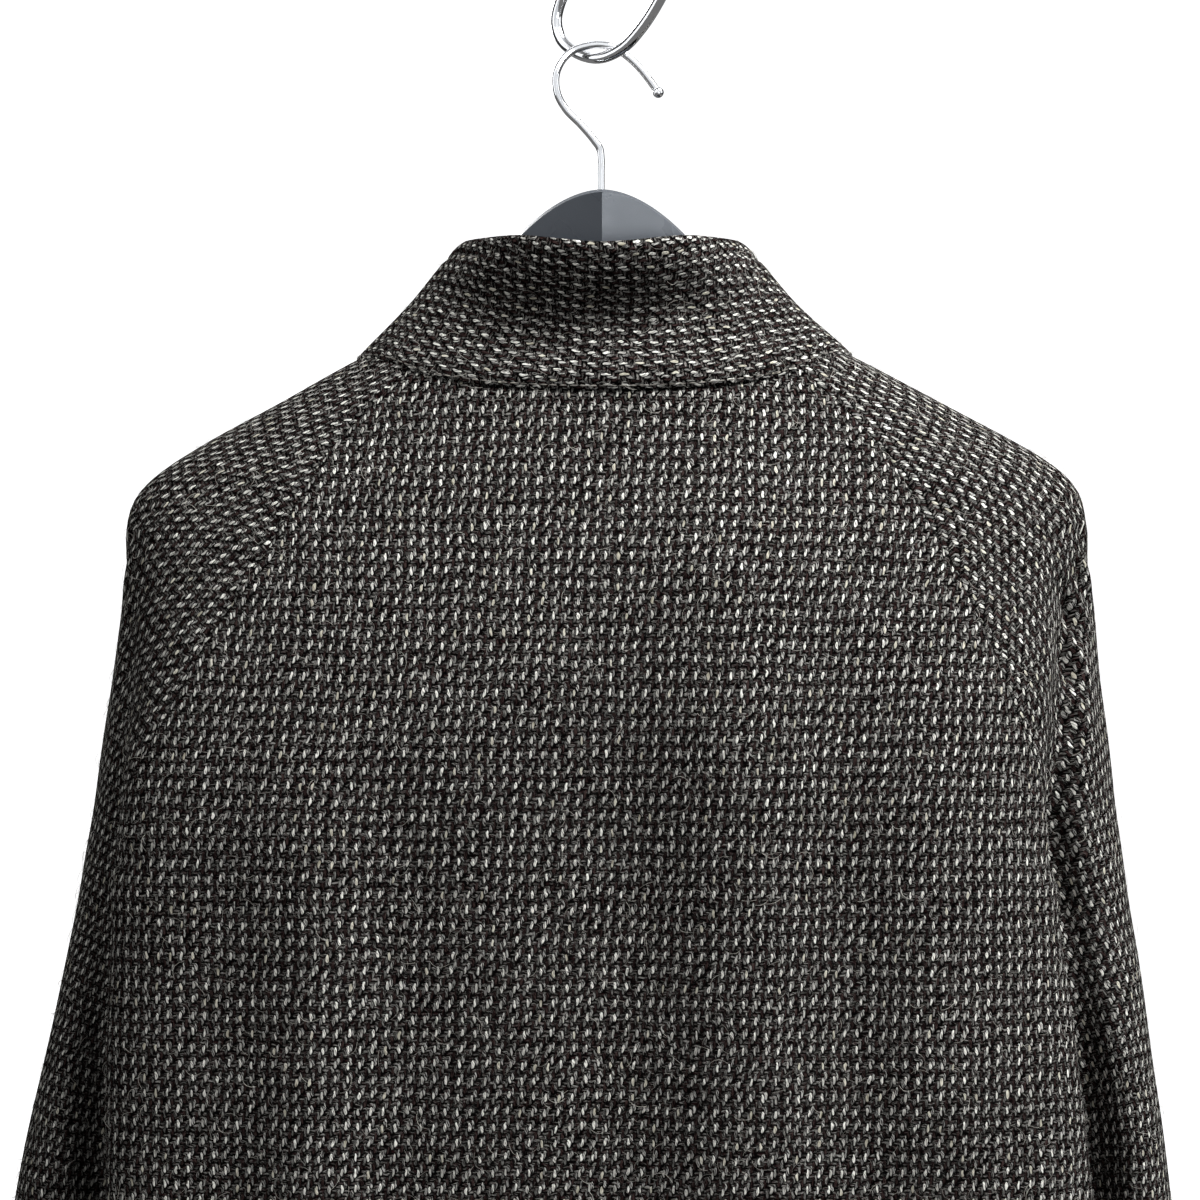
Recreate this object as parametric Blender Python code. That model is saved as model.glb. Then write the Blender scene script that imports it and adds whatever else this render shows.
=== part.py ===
"""A raglan tweed blouson with a stand collar, on a plastic hanger that hangs in an S-hook.

The garment's back faces +Y and its front, closed by a zip, faces -Y. +X is the wearer's left.
The origin is the point where the upper bend of the S-hook rests on what holds it.
Sizes are in millimetres. A drop is measured down from the collar seam at the centre of the back.
"""
import math

import bpy
import numpy as np

MM = 0.001

# Cloth
CLOTH = 2.0             # one layer of the tweed
COLLAR_CLOTH = 3.0      # two pressed layers
COLLAR_LIFT = 1.0       # the collar stands this far proud of the panels
BAND_CLOTH = 2.5
BAND_LIFT = 0.5
SEAM_GAP = 0.6          # between neighbouring panels
INNER_PULL = 0.7        # a panel's inside edge ends this much before its outside edge

# Lengths of the garment
UNDERARM_DROP = 228.0
UNDERARM_TURN = 1.22    # where the side seam lies round the body, see body_point
BODY_DROP = 600.0
HEM_DROP = 660.0
SLEEVE_DROP = 592.0
CUFF_DROP = 650.0

# Neckline and collar
NECK_BACK_DROP = 2.0
NECK_SIDE_DROP = -13.0
NECK_FRONT_DROP = 55.0
FRONT_NECK_CURVE = 1.5
COLLAR_TOP_HALF_WIDTH = 63.0
COLLAR_TOP_BACK_Y = 38.0
COLLAR_TOP_FRONT_Y = -96.0
COLLAR_TOP_BACK_DROP = -65.0
COLLAR_TOP_FRONT_DROP = -14.0
COLLAR_FOOT = 0.009     # the collar starts this share of its height above the neckline
CORNER_FOOT = 0.014     # and this much more at the front raglan seam, where the neckline bends
CORNER_PLACE = (0.62, 0.14)     # that place along the neckline, and its reach
COLLAR_HOLLOW = 6.0     # how far the collar's stand curves in between seam and top edge
COLLAR_SIDE_HOLLOW = 0.4    # share of that at its sides

# Zip
ZIP_HALF_GAP = 6.0      # from the middle to the edge of each front
TAPE_WIDTH = 14.0
TAPE_CLOTH = 1.0
TAPE_CLEARANCE = 0.8
SLIDER_BELOW_TOP = 9.0
HINGE_RISE = 6.0        # the pull tab's hinge stands this far off the tape
ZIP_BOXES = {           # two corners of each box in the zip's own frame, see add_zip_slider
    "zip_slider": ((-4.5, 1.6, -5.5), (4.5, HINGE_RISE - 0.3, 5.5)),
    "slider_bridge": ((-1.1, -2.1, -4.5), (1.1, 2.2, 4.5)),
    "slider_eye": ((-2.0, -1.1, -1.1), (2.0, 1.1, 1.1)),
    "zip_pull": ((-3.5, -0.6, -28.0), (3.5, 0.6, 0.6)),
    "pull_window": ((-1.7, -2.0, -6.2), (1.7, 2.0, -0.6)),
}

# Hanger: heights are above the collar seam at the centre of the back
DOME_RADIUS = 50.0
DOME_TOP = 91.5
DOME_RIDGE = 7.0        # the ridge down the middle of the dome's back
DOME_SKIRT = 40.0       # how much deeper the dome is than the arms
ARM_TIP = 209.0
ARM_TIP_LENGTH = 16.0
ARM_HEIGHT = 18.0
ARM_HALF_DEPTH = (9.0, 13.0)    # at the dome and at the shoulder
ARM_SHOULDER = 5.0      # height over which the arm's top is rounded
ARM_SWEEP = 0.10        # forward sweep of the arms for each millimetre out
ARM_UNDER_RIDGE = 3.6   # from the cloth's outer face at the shoulder down to the arm
ARM_ROOT = 90.0         # inside this the arms rise straight into the dome
ARM_ROOT_FALL = 4.0
ARM_ROOT_SLOPE = 0.5
ARM_STATIONS = (8, 18, 28, 37, 44, 48, 49.9, 54, 64, 78, 92, 106, 120, 135, 150, 165, 180, 190, 199,
                205, ARM_TIP)

# Hooks
HOOK_WIRE = 3.6
S_WIRE = 5.6
S_PLANE_TURN = 37.0     # degrees, the S-hook's plane about Z
WIRE_CLEARANCE = 0.3
HOOK_POINTS = 36
S_POINTS = 52
HOOK_TOP = 160.0        # middle of the hanger hook's wire at its crown
S_BOTTOM = HOOK_TOP - (HOOK_WIRE + S_WIRE) / 2 - 5 * WIRE_CLEARANCE
S_MIDDLE = (-0.75, S_BOTTOM + 50.3)
HANG_HEIGHT = 2 * S_MIDDLE[1] - S_BOTTOM - S_WIRE / 2   # the origin


def table(columns, rows):
    """A short table as one array for each named column."""
    return {name: np.array(values, float) for name, values in zip(columns, zip(*rows))}


# The body's ring at several drops: half width, the y of its side fold, of its centre back and of
# its centre front, and how square its back and front quarters are (2 is an ellipse).
BODY = table(
    ("drop", "half_width", "side_y", "back_y", "front_y", "back_power", "front_power"), (
        (-30, 84, -8, 34, -52, 2.0, 2.0),
        (-13, 113, -11, 41, -58, 2.0, 2.0),
        (16, 162, -16, 48, -66, 2.0, 2.1),
        (33, 190, -19, 54, -69, 2.0, 2.2),
        (46, 208, -20, 58, -70, 2.1, 2.2),
        (60, 218, -19, 61, -71, 2.1, 2.2),
        (80, 221, -12, 65, -72, 2.2, 2.1),
        (120, 219, 6, 69, -73, 2.3, 1.9),
        (180, 215, 24, 71, -74, 2.5, 1.65),
        (228, 217, 28, 73, -74, 2.5, 1.55),
        (290, 223, 28, 74, -75, 2.5, 1.55),
        (383, 229, 28, 75, -76, 2.5, 1.55),
        (480, 233, 26, 75, -77, 2.5, 1.6),
        (560, 226, 22, 71, -74, 2.4, 1.8),
        (600, 212, 18, 64, -68, 2.3, 1.9),
    ))

# The raglan seams, as the distance from the middle at several drops. Both end at the underarm.
RAGLAN_BACK = table(("drop", "x"), (
    (-8, 88), (30, 123), (63, 143), (96, 165), (125, 183), (157, 198), (180, 209)))
RAGLAN_FRONT = table(("drop", "x"), (
    (3, 92), (30, 116), (63, 134), (96, 147), (125, 157), (157, 168), (180, 178)))

# The sleeve's flattened tube at several drops: x of its outer edge, y of its middle, half its
# length and half its width in plan, and how far its front is turned inward, in degrees.
SLEEVE = table(("drop", "outer_x", "centre_y", "half_long", "half_short", "turn"), (
    (40, 205, -14, 36, 30, 8),
    (73, 222, -24, 46, 32, 9),
    (101, 227, -32, 53, 35, 10),
    (148, 233, -44, 63, 39, 12),
    (190, 240, -54, 70, 41, 14),
    (228, 250, -61, 75, 41, 16),
    (290, 262, -65, 80, 41, 22),
    (383, 281, -62, 76, 40, 28),
    (480, 293, -60, 66, 37, 31),
    (560, 297, -62, 56, 33, 32),
    (592, 294, -63, 46, 27, 32),
    (650, 291, -64, 43, 25, 32),
))
# Where the oval starts behind and ends in front, in degrees round it: at its underarm seam below
# the underarm, and less far round where the armhole opens it, at several drops of its outer edge.
OVAL_ENDS = table(("drop", "back", "front"), (
    (-13, 150, -10), (60, 160, -20), (107, 172, -45), (168, 190, -85), (UNDERARM_DROP, 217, -143)))
SLEEVE_MIDDLE = 90.0    # degrees where its outer edge lies
SEAM_REACH = 0.6        # share of each half of the oval that the armhole draws out
SEAM_HUG = 0.12         # share of the oval, from its seam, over which the sleeve leaves the body
SLEEVE_LAPS = (0.0, 0.25, 0.5, 0.9, 1.0)    # shares of a row at the seam, crease, outer edge, crease, seam
SLEEVE_LEAVES = (35.0, 115.0)   # drops between which the sleeve leaves the body's shape behind
FRONT_LEAVES = 135.0    # and the drop by which it has left it in front
SLEEVE_CLEARANCE = 4.0  # between the hanging sleeve and the body
GUSSET_LENGTH = 70.0    # below the underarm the armhole's pull fades over this length

# The crease between the back and the hanging sleeve, as a turn round the body at several drops
CREASE = table(("drop", "turn"), (
    (-20, 0.70), (33, 0.78), (60, 0.86), (120, 0.99), (170, 1.05), (UNDERARM_DROP, UNDERARM_TURN)))
FRONT_CREASE = 0.15     # the front's crease lies this share of the way from its seam to the underarm
CREASE_ROUNDS = 10      # rounds of smoothing along each sleeve row

# The largest soft folds of the back: x and half width of each, height, and its upper and lower end.
FOLD_FADE = 80.0        # length over which a fold fades at each end
FOLDS = table(("x", "half_width", "height", "top", "bottom"), (
    (130, 30, 4.0, 150, 560),
    (-41, 44, 4.0, 20, 520),
    (-182, 22, 4.0, 90, 330),
))

# The hanger's hook, from the dome to its free end
HOOK_ROUTE = table(("x", "rise"), (
    (0.5, DOME_TOP + WIRE_CLEARANCE), (0.5, 100), (0.5, 108), (3, 114), (10.3, 122.7), (17, 129.6),
    (21, 137.2), (21.5, 146), (19, 152), (14, 156.9), (7.5, 159.3), (0.8, HOOK_TOP), (-5.6, 158.6),
    (-11.5, 154.8), (-17, 149.5), (-22, 142.9), (-26.5, 136.5)))

# Half of the S-hook in its own plane, from a free end round its lower bend to its middle. The
# other half is the same turned over about the middle.
S_ROUTE = table(("across", "rise"), (
    (41, 34), (36, 28), (30, 20), (23, 12.2), (13, 4.2), (-1.5, 0), (-16, 3.8), (-24, 10), (-27, 18.5),
    (-24.5, 28), (-15, 39)))

# Numbers of columns and rows
BACK_COLUMNS = 11       # each side of the middle
FRONT_COLUMNS = 10
SLEEVE_COLUMNS = (12, 11)   # behind and in front of the outer edge
COLLAR_COLUMNS = 27     # each side of the middle
COLLAR_ROWS = 6
YOKE_LEVELS = np.array((0, .07, .13, .18, .225, .26, .30, .36, .44, .53, .62, .71, .80, .88, .95, 1))
BODY_DROPS = np.array((255, 290, 330, 380, 430, 480, 535, 570, BODY_DROP))
SLEEVE_DROPS = np.array((240, 258, 285, 320, 365, 415, 470, 520, 560, SLEEVE_DROP))
BAND_ROWS = 3
TAPE_COLUMNS = 3
DENSE = 90              # points worked out along each row before it is divided

TWEED = dict(colour=(0.055, 0.052, 0.047), roughness=0.95)
TAPE = dict(colour=(0.02, 0.02, 0.02), roughness=0.8)
STEEL = dict(colour=(0.75, 0.75, 0.76), roughness=0.15, metallic=1.0)
PLASTIC = dict(colour=(0.07, 0.08, 0.09), roughness=0.45)


def read(values, name, drop):
    """A column of a table at any drop, on a smooth curve through its rows."""
    xs, ys = values["drop"], values[name]
    slopes = np.gradient(ys, xs)
    x = np.clip(drop, xs[0], xs[-1])
    i = np.clip(np.searchsorted(xs, x, side="right") - 1, 0, len(xs) - 2)
    span = xs[i + 1] - xs[i]
    t = (x - xs[i]) / span
    rise = ys[i] * (1 + 2 * t) * (1 - t) ** 2 + ys[i + 1] * t * t * (3 - 2 * t)
    return rise + span * (slopes[i] * t * (1 - t) ** 2 - slopes[i + 1] * t * t * (1 - t))


def ease(value, start, end):
    """0 before start, 1 after end and a soft step between."""
    t = np.clip((value - start) / (end - start), 0, 1)
    return t * t * (3 - 2 * t)


def fold_height(x, drop):
    """How far the soft folds of the back stand out at a place."""
    height = np.zeros(np.broadcast(x, drop).shape)
    for i in range(len(FOLDS["x"])):
        across = np.exp(-((x - FOLDS["x"][i]) / FOLDS["half_width"][i]) ** 2)
        top, bottom = FOLDS["top"][i], FOLDS["bottom"][i]
        down = ease(drop, top, top + FOLD_FADE) * (1 - ease(drop, bottom - FOLD_FADE, bottom))
        height += FOLDS["height"][i] * across * down
    return height


def body_point(turn, drop, side):
    """Outer face of the body: turn 0 is the centre back, 1 the side fold, 2 the centre front."""
    turn, drop = np.broadcast_arrays(turn, drop)
    angle = turn * math.pi / 2
    behind = turn <= 1
    power = 2 / np.where(behind, read(BODY, "back_power", drop), read(BODY, "front_power", drop))
    side_y = read(BODY, "side_y", drop)
    end_y = np.where(behind, read(BODY, "back_y", drop), read(BODY, "front_y", drop))
    x = side * read(BODY, "half_width", drop) * np.abs(np.sin(angle)) ** power
    y = side_y + (end_y - side_y) * np.abs(np.cos(angle)) ** power
    y = y + np.where(behind, np.cos(angle) ** 2, 0) * fold_height(x, drop)
    return np.stack((x, y, -drop), axis=-1)


def seam_turns(seam, power_name, front):
    """The raglan seam's turn round the body, worked out closely down to the underarm."""
    drop = np.linspace(seam["drop"][0], seam["drop"][-1], 24)
    share = read(seam, "x", drop) / read(BODY, "half_width", drop)
    turn = np.arcsin(share ** (read(BODY, power_name, drop) / 2)) * 2 / math.pi
    turn = 2 - turn if front else turn
    return {"drop": np.append(drop, UNDERARM_DROP), "turn": np.append(turn, UNDERARM_TURN)}


BACK_SEAM = seam_turns(RAGLAN_BACK, "back_power", front=False)
FRONT_SEAM = seam_turns(RAGLAN_FRONT, "front_power", front=True)


def seam_place(seam, level):
    """Drop and turn on a seam; level 0 is the neckline and 1 the underarm."""
    drop = seam["drop"][0] + (UNDERARM_DROP - seam["drop"][0]) * level
    return drop, read(seam, "turn", drop)


def back_line(level, side):
    """Half a row of the back, from its middle to the raglan seam."""
    drop, turn = seam_place(BACK_SEAM, level)
    middle_drop = NECK_BACK_DROP + (UNDERARM_DROP - NECK_BACK_DROP) * level
    share = np.linspace(0, 1, DENSE)
    return body_point(share * turn, middle_drop + (drop - middle_drop) * share ** 2, side)


def front_line(level, side):
    """A row of a front, from the raglan seam to the middle."""
    drop, turn = seam_place(FRONT_SEAM, level)
    middle_drop = NECK_FRONT_DROP + (UNDERARM_DROP - NECK_FRONT_DROP) * level
    share = np.linspace(0, 1, DENSE)
    rise = (1 - share) ** FRONT_NECK_CURVE
    return body_point(turn + share * (2 - turn), middle_drop + (drop - middle_drop) * rise, side)


def divide(line, columns, trim=(0.0, 0.0)):
    """Evenly spaced points along a line whose ends are first trimmed."""
    steps = np.linalg.norm(np.diff(line, axis=0), axis=1)
    length = np.append(0, np.cumsum(steps))
    wanted = np.linspace(trim[0], length[-1] - trim[1], columns + 1)
    return np.stack([np.interp(wanted, length, line[:, k]) for k in range(3)], axis=-1)


def halved(line, behind, before, trim=0.0):
    """A sleeve row divided evenly behind and in front of its outer edge."""
    middle = len(line) // 2
    first = divide(line[:middle + 1], behind, (trim, 0))
    second = divide(line[middle:], before, (0, trim))
    return np.vstack((first, second[1:]))


def tube_point(share, drop, side, ends_at=UNDERARM_DROP):
    """The sleeve's oval: share 0.5 is its outer edge, and its ends are those of a row at ends_at."""
    lean = np.radians(read(SLEEVE, "turn", drop))
    long, short = read(SLEEVE, "half_long", drop), read(SLEEVE, "half_short", drop)
    centre_x = read(SLEEVE, "outer_x", drop) - np.hypot(long * np.sin(lean), short * np.cos(lean))
    ends = (read(OVAL_ENDS, "back", ends_at), SLEEVE_MIDDLE, read(OVAL_ENDS, "front", ends_at))
    angle = np.radians(np.interp(share, (0, 0.5, 1), ends))
    forward, outward = long * np.cos(angle), short * np.sin(angle)
    x = centre_x - forward * np.sin(lean) + outward * np.cos(lean)
    y = read(SLEEVE, "centre_y", drop) - forward * np.cos(lean) - outward * np.sin(lean)
    return np.stack((side * x, y, -drop + 0 * share), axis=-1)


def pulled_tube(share, drop, start, end, ends_at=UNDERARM_DROP):
    """The sleeve's oval with its two ends drawn out to the armhole."""
    side = np.sign(start[0])
    ring = tube_point(share, drop, side, ends_at)
    ends = tube_point(np.array((0.0, 1.0)), np.array((drop[0], drop[-1])), side, ends_at)
    near_start = (1 - ease(share, 0, SEAM_REACH / 2))[:, None]
    near_end = ease(share, 1 - SEAM_REACH / 2, 1)[:, None]
    return ring + near_start * (start - ends[0]) + near_end * (end - ends[1])


def clear_of_body(line, drop, margin):
    """Sleeve points moved outward, where needed, to lie a margin outside the body."""
    y = line[:, 1] - read(BODY, "side_y", drop)
    end_y = np.where(y > 0, read(BODY, "back_y", drop), read(BODY, "front_y", drop))
    power = np.where(y > 0, read(BODY, "back_power", drop), read(BODY, "front_power", drop))
    depth = np.abs(end_y - read(BODY, "side_y", drop)) + margin
    width = read(BODY, "half_width", drop) + margin
    reach = ((np.abs(line[:, 0]) / width) ** power + (np.abs(y) / depth) ** power) ** (1 / power)
    push = np.maximum(1 / reach, 1) - 1
    return line + np.stack((line[:, 0] * push, y * push, 0 * y), axis=-1)


def soften(line):
    """A line with its corners rounded a little."""
    line = line.copy()
    for _ in range(CREASE_ROUNDS):
        line[1:-1] = (line[:-2] + 2 * line[1:-1] + line[2:]) / 4
    return line


def sleeve_line(level, side):
    """A row of the sleeve above the underarm, from the back seam over the shoulder to the front.

    It follows the body to the crease, then the sleeve's tube round its outer edge to the front's
    crease, then the front to its seam. Near the shoulder the tube gives way to the body's shape.
    """
    back_drop, back_turn = seam_place(BACK_SEAM, level)
    front_drop, front_turn = seam_place(FRONT_SEAM, level)
    ridge_drop = NECK_SIDE_DROP + (UNDERARM_DROP - NECK_SIDE_DROP) * level
    crease_turn = max(read(CREASE, "turn", back_drop), back_turn)
    front_crease_turn = front_turn - FRONT_CREASE * (front_turn - UNDERARM_TURN)
    share = np.linspace(0, 1, 2 * DENSE + 1)
    arch = 4 * share * (1 - share) * (ridge_drop - (back_drop + front_drop) / 2)
    drop = back_drop + (front_drop - back_drop) * share + arch
    turn = np.interp(share, SLEEVE_LAPS, (back_turn, crease_turn, 1.0, front_crease_turn, front_turn))
    on_body = body_point(turn, drop, side)
    loose = (share >= SLEEVE_LAPS[1]) & (share <= SLEEVE_LAPS[3])
    round_tube = np.interp(share[loose], SLEEVE_LAPS[1:4], (0.0, 0.5, 1.0))
    tube = pulled_tube(round_tube, drop[loose], on_body[loose][0], on_body[loose][-1], ridge_drop)
    tube = clear_of_body(tube, drop[loose], SEAM_GAP + SLEEVE_CLEARANCE * away_from_seam(round_tube))
    left_by = SLEEVE_LEAVES[1] + (FRONT_LEAVES - SLEEVE_LEAVES[1]) * ease(share[loose], 0.5, 0.75)
    leaves = ease(ridge_drop, SLEEVE_LEAVES[0], left_by)[:, None]
    line = on_body.copy()
    line[loose] += leaves * (tube - on_body[loose])
    return soften(halved(line, DENSE, DENSE))


def away_from_seam(share):
    """0 at the two ends of a sleeve row, rising to 1 along it."""
    return ease(np.minimum(share, 1 - share), 0, SEAM_HUG)


def armpit(side):
    """The point just outside the side seam's top, where the sleeve's seam ends."""
    point = body_point(UNDERARM_TURN, UNDERARM_DROP, side)
    return point + np.array((side * 2 * SEAM_GAP, 0, 0))


def sleeve_ring(drop, side):
    """A closed row of the sleeve from the underarm down."""
    share = np.linspace(0, 1, 2 * DENSE + 1)
    drops = np.full(share.shape, drop)
    fade = 1 - ease(drop, UNDERARM_DROP, UNDERARM_DROP + GUSSET_LENGTH)
    start = tube_point(np.array((0.0,)), drops[:1], side)[0]
    meets = start + fade * (armpit(side) + (0, 0, UNDERARM_DROP - drop) - start)
    ring = pulled_tube(share, drops, meets, meets)
    margin = 2 * SEAM_GAP + SLEEVE_CLEARANCE * np.maximum(away_from_seam(share), 1 - fade)
    return halved(clear_of_body(ring, drops, margin), DENSE, DENSE)


def body_line(drop, side, turns):
    """A level row of the body between two turns."""
    return body_point(np.linspace(*turns, DENSE), np.full(DENSE, drop), side)


def ordered(rows, side):
    """Rows that run the same way round the garment on both sides of it."""
    grid = np.array(rows)
    return grid if side > 0 else grid[:, ::-1]


def material(name, colour, roughness, metallic=0.0):
    made = bpy.data.materials.new(name)
    made.use_nodes = True
    shader = made.node_tree.nodes["Principled BSDF"]
    shader.inputs["Base Color"].default_value = (*colour, 1)
    shader.inputs["Roughness"].default_value = roughness
    shader.inputs["Metallic"].default_value = metallic
    made.diffuse_color = (*colour, 1)
    return made


def add_object(name, data, look):
    made = bpy.data.objects.new(name, data)
    data.materials.append(material(name, **look))
    bpy.context.scene.collection.objects.link(made)
    return made


def add_solid(name, points, faces, look):
    """A closed mesh from points in millimetres about the collar seam."""
    mesh = bpy.data.meshes.new(name)
    mesh.from_pydata(((points - (0, 0, HANG_HEIGHT)) * MM).tolist(), [], faces)
    mesh.update()
    mesh.shade_smooth()
    mesh.set_sharp_from_angle(angle=math.radians(40))
    add_object(name, mesh, look)


def towards(points, neighbours, distance):
    """Points moved a short way towards their neighbours."""
    step = neighbours - points
    return points + distance * step / np.linalg.norm(step, axis=-1, keepdims=True)


def add_wall(name, grid, look, thickness=CLOTH, lift=0.0, closed_from=None):
    """A cloth wall from a grid of outer points: rows run down, columns round the garment.

    From row closed_from on, the last column is the first one again and the wall is a tube.
    """
    rows, columns = grid.shape[:2]
    index = np.arange(rows * columns).reshape(rows, columns)
    if closed_from is not None:
        index[closed_from:, -1] = index[closed_from:, 0]
    quads = np.stack((index[:-1, :-1], index[:-1, 1:], index[1:, 1:], index[1:, :-1]), -1).reshape(-1, 4)
    points = grid.reshape(-1, 3)
    across = points[quads[:, 2]] - points[quads[:, 0]]
    down = points[quads[:, 3]] - points[quads[:, 1]]
    normals = np.zeros(points.shape)
    for corner in range(4):
        np.add.at(normals, quads[:, corner], np.cross(across, down))
    normals /= np.maximum(np.linalg.norm(normals, axis=1, keepdims=True), 1e-12)
    outer = points + lift * normals
    inner = (outer - thickness * normals).reshape(grid.shape)
    inner[0] = towards(inner[0], inner[1], INNER_PULL)
    inner[-1] = towards(inner[-1], inner[-2], INNER_PULL)
    last_open = rows if closed_from is None else closed_from
    inner[:last_open, 0] = towards(inner[:last_open, 0], inner[:last_open, 1], INNER_PULL)
    inner[:last_open, -1] = towards(inner[:last_open, -1], inner[:last_open, -2], INNER_PULL)
    used, renumbered = np.unique(quads, return_inverse=True)
    quads = renumbered.reshape(quads.shape)
    count = len(used)
    edges = {(int(q[k]), int(q[(k + 1) % 4])) for q in quads for k in range(4)}
    rim = [(b, a, a + count, b + count) for a, b in edges if (b, a) not in edges]
    faces = quads.tolist() + (quads[:, ::-1] + count).tolist() + sorted(rim)
    add_solid(name, np.vstack((outer[used], inner.reshape(-1, 3)[used])), faces, look)


def add_back():
    halves = {}
    for side in (1, -1):
        rows = [divide(back_line(level, side), BACK_COLUMNS, (0, SEAM_GAP / 2)) for level in YOKE_LEVELS]
        rows += [divide(body_line(drop, side, (0, UNDERARM_TURN)), BACK_COLUMNS, (0, SEAM_GAP / 2))
                 for drop in BODY_DROPS]
        halves[side] = ordered(rows, side)
    add_wall("back", np.concatenate((halves[-1], halves[1][:, 1:]), axis=1), TWEED)


def add_front(name, side):
    trim = (SEAM_GAP / 2, ZIP_HALF_GAP)
    rows = [divide(front_line(level, side), FRONT_COLUMNS, trim) for level in YOKE_LEVELS]
    rows += [divide(body_line(drop, side, (UNDERARM_TURN, 2)), FRONT_COLUMNS, trim) for drop in BODY_DROPS]
    add_wall(name, ordered(rows, side), TWEED)


def add_sleeve(name, side):
    rows = [halved(sleeve_line(level, side), *SLEEVE_COLUMNS, SEAM_GAP / 2) for level in YOKE_LEVELS[:-1]]
    rows += [halved(sleeve_ring(drop, side), *SLEEVE_COLUMNS) for drop in (UNDERARM_DROP, *SLEEVE_DROPS)]
    add_wall(name, ordered(rows, side), TWEED, closed_from=len(YOKE_LEVELS) - 1)


def add_cuff(name, side):
    drops = np.linspace(SLEEVE_DROP + SEAM_GAP, CUFF_DROP, BAND_ROWS)
    rows = [halved(sleeve_ring(drop, side), *SLEEVE_COLUMNS) for drop in drops]
    add_wall(name, ordered(rows, side), TWEED, BAND_CLOTH, BAND_LIFT, closed_from=0)


def add_hem_band():
    halves = {}
    for side in (1, -1):
        line = body_line(BODY_DROP, side, (0, 2))
        row = divide(line, 2 * BACK_COLUMNS, (0, ZIP_HALF_GAP))
        drops = np.linspace(BODY_DROP + SEAM_GAP, HEM_DROP, BAND_ROWS)
        halves[side] = ordered([row + (0, 0, BODY_DROP - drop) for drop in drops], side)
    grid = np.concatenate((halves[-1], halves[1][:, 1:]), axis=1)
    add_wall("hem_band", grid, TWEED, BAND_CLOTH, BAND_LIFT)


def neck_line(side):
    """The neckline from the centre back over the shoulder to the centre front."""
    return np.vstack((back_line(0, side), sleeve_line(0, side)[1:], front_line(0, side)[1:]))


def collar_line(rise, side):
    """A row of the collar's surface; rise 0 is its foot and 1 the top edge."""
    base = divide(neck_line(side), 2 * DENSE)
    share = np.linspace(0, 1, 2 * DENSE + 1)
    angle = share * math.pi
    front = ease(share, 0.35, 1)
    middle_y = (COLLAR_TOP_BACK_Y + COLLAR_TOP_FRONT_Y) / 2
    half_depth = (COLLAR_TOP_BACK_Y - COLLAR_TOP_FRONT_Y) / 2
    drop = COLLAR_TOP_BACK_DROP + (COLLAR_TOP_FRONT_DROP - COLLAR_TOP_BACK_DROP) * front
    top = np.stack((side * COLLAR_TOP_HALF_WIDTH * np.sin(angle), middle_y + half_depth * np.cos(angle),
                    -drop), axis=-1)
    corner = np.exp(-((share - CORNER_PLACE[0]) / CORNER_PLACE[1]) ** 2)
    foot = COLLAR_FOOT + CORNER_FOOT * corner
    rise = foot + (1 - foot) * rise
    inward = np.stack((-side * np.sin(angle) * COLLAR_SIDE_HOLLOW, -np.cos(angle), 0 * angle), axis=-1)
    hollow = COLLAR_HOLLOW * np.sin(math.pi * rise ** 0.8) * (1 - ease(share, 0.5, 0.85))
    return base + (top - base) * rise[:, None] + inward * hollow[:, None]


def add_collar():
    rises = np.linspace(1, 0, COLLAR_ROWS)
    halves = {}
    for side in (1, -1):
        rows = [divide(collar_line(rise, side), COLLAR_COLUMNS, (0, ZIP_HALF_GAP)) for rise in rises]
        halves[side] = ordered(rows, side)
    grid = np.concatenate((halves[-1], halves[1][:, 1:]), axis=1)
    add_wall("collar", grid, TWEED, COLLAR_CLOTH, COLLAR_LIFT)


def middle_lines(side):
    """The garment's rows at the front, from the collar's top edge to the hem, up to the middle."""
    lines = [collar_line(rise, side) for rise in np.linspace(1, 0, COLLAR_ROWS)]
    lines += [front_line(level, side) for level in YOKE_LEVELS[1::2]]
    lines += [body_line(drop, side, (UNDERARM_TURN, 2)) for drop in BODY_DROPS]
    lines.append(lines[-1] + (0, 0, BODY_DROP - HEM_DROP))
    return lines


def add_zip_tape(name, side):
    rows = []
    for line in middle_lines(side):
        steps = np.linalg.norm(np.diff(line, axis=0), axis=1)
        rows.append(divide(line, TAPE_COLUMNS, (steps.sum() - TAPE_WIDTH, SEAM_GAP / 2)))
    depth = CLOTH + TAPE_CLEARANCE
    add_wall(name, ordered(rows, side), TAPE, TAPE_CLOTH, -depth)


def add_zip_box(name):
    """One of the zip's boxes."""
    low, high = ZIP_BOXES[name]
    corners = [(x, y, z) for x in (low[0], high[0]) for y in (low[1], high[1]) for z in (low[2], high[2])]
    faces = [(0, 1, 3, 2), (4, 6, 7, 5), (0, 4, 5, 1), (2, 3, 7, 6), (0, 2, 6, 4), (1, 5, 7, 3)]
    mesh = bpy.data.meshes.new(name)
    mesh.from_pydata((np.array(corners) * MM).tolist(), [], faces)
    mesh.update()
    return add_object(name, mesh, STEEL)


def combine(target, other, operation):
    """Join another shape to a target or cut it out, and keep it only as a guide."""
    change = target.modifiers.new(other.name, "BOOLEAN")
    change.operation = operation
    change.object = other
    other.hide_render = True
    other.display_type = "WIRE"
    other.parent = target.parent
    other.location = target.location


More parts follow.
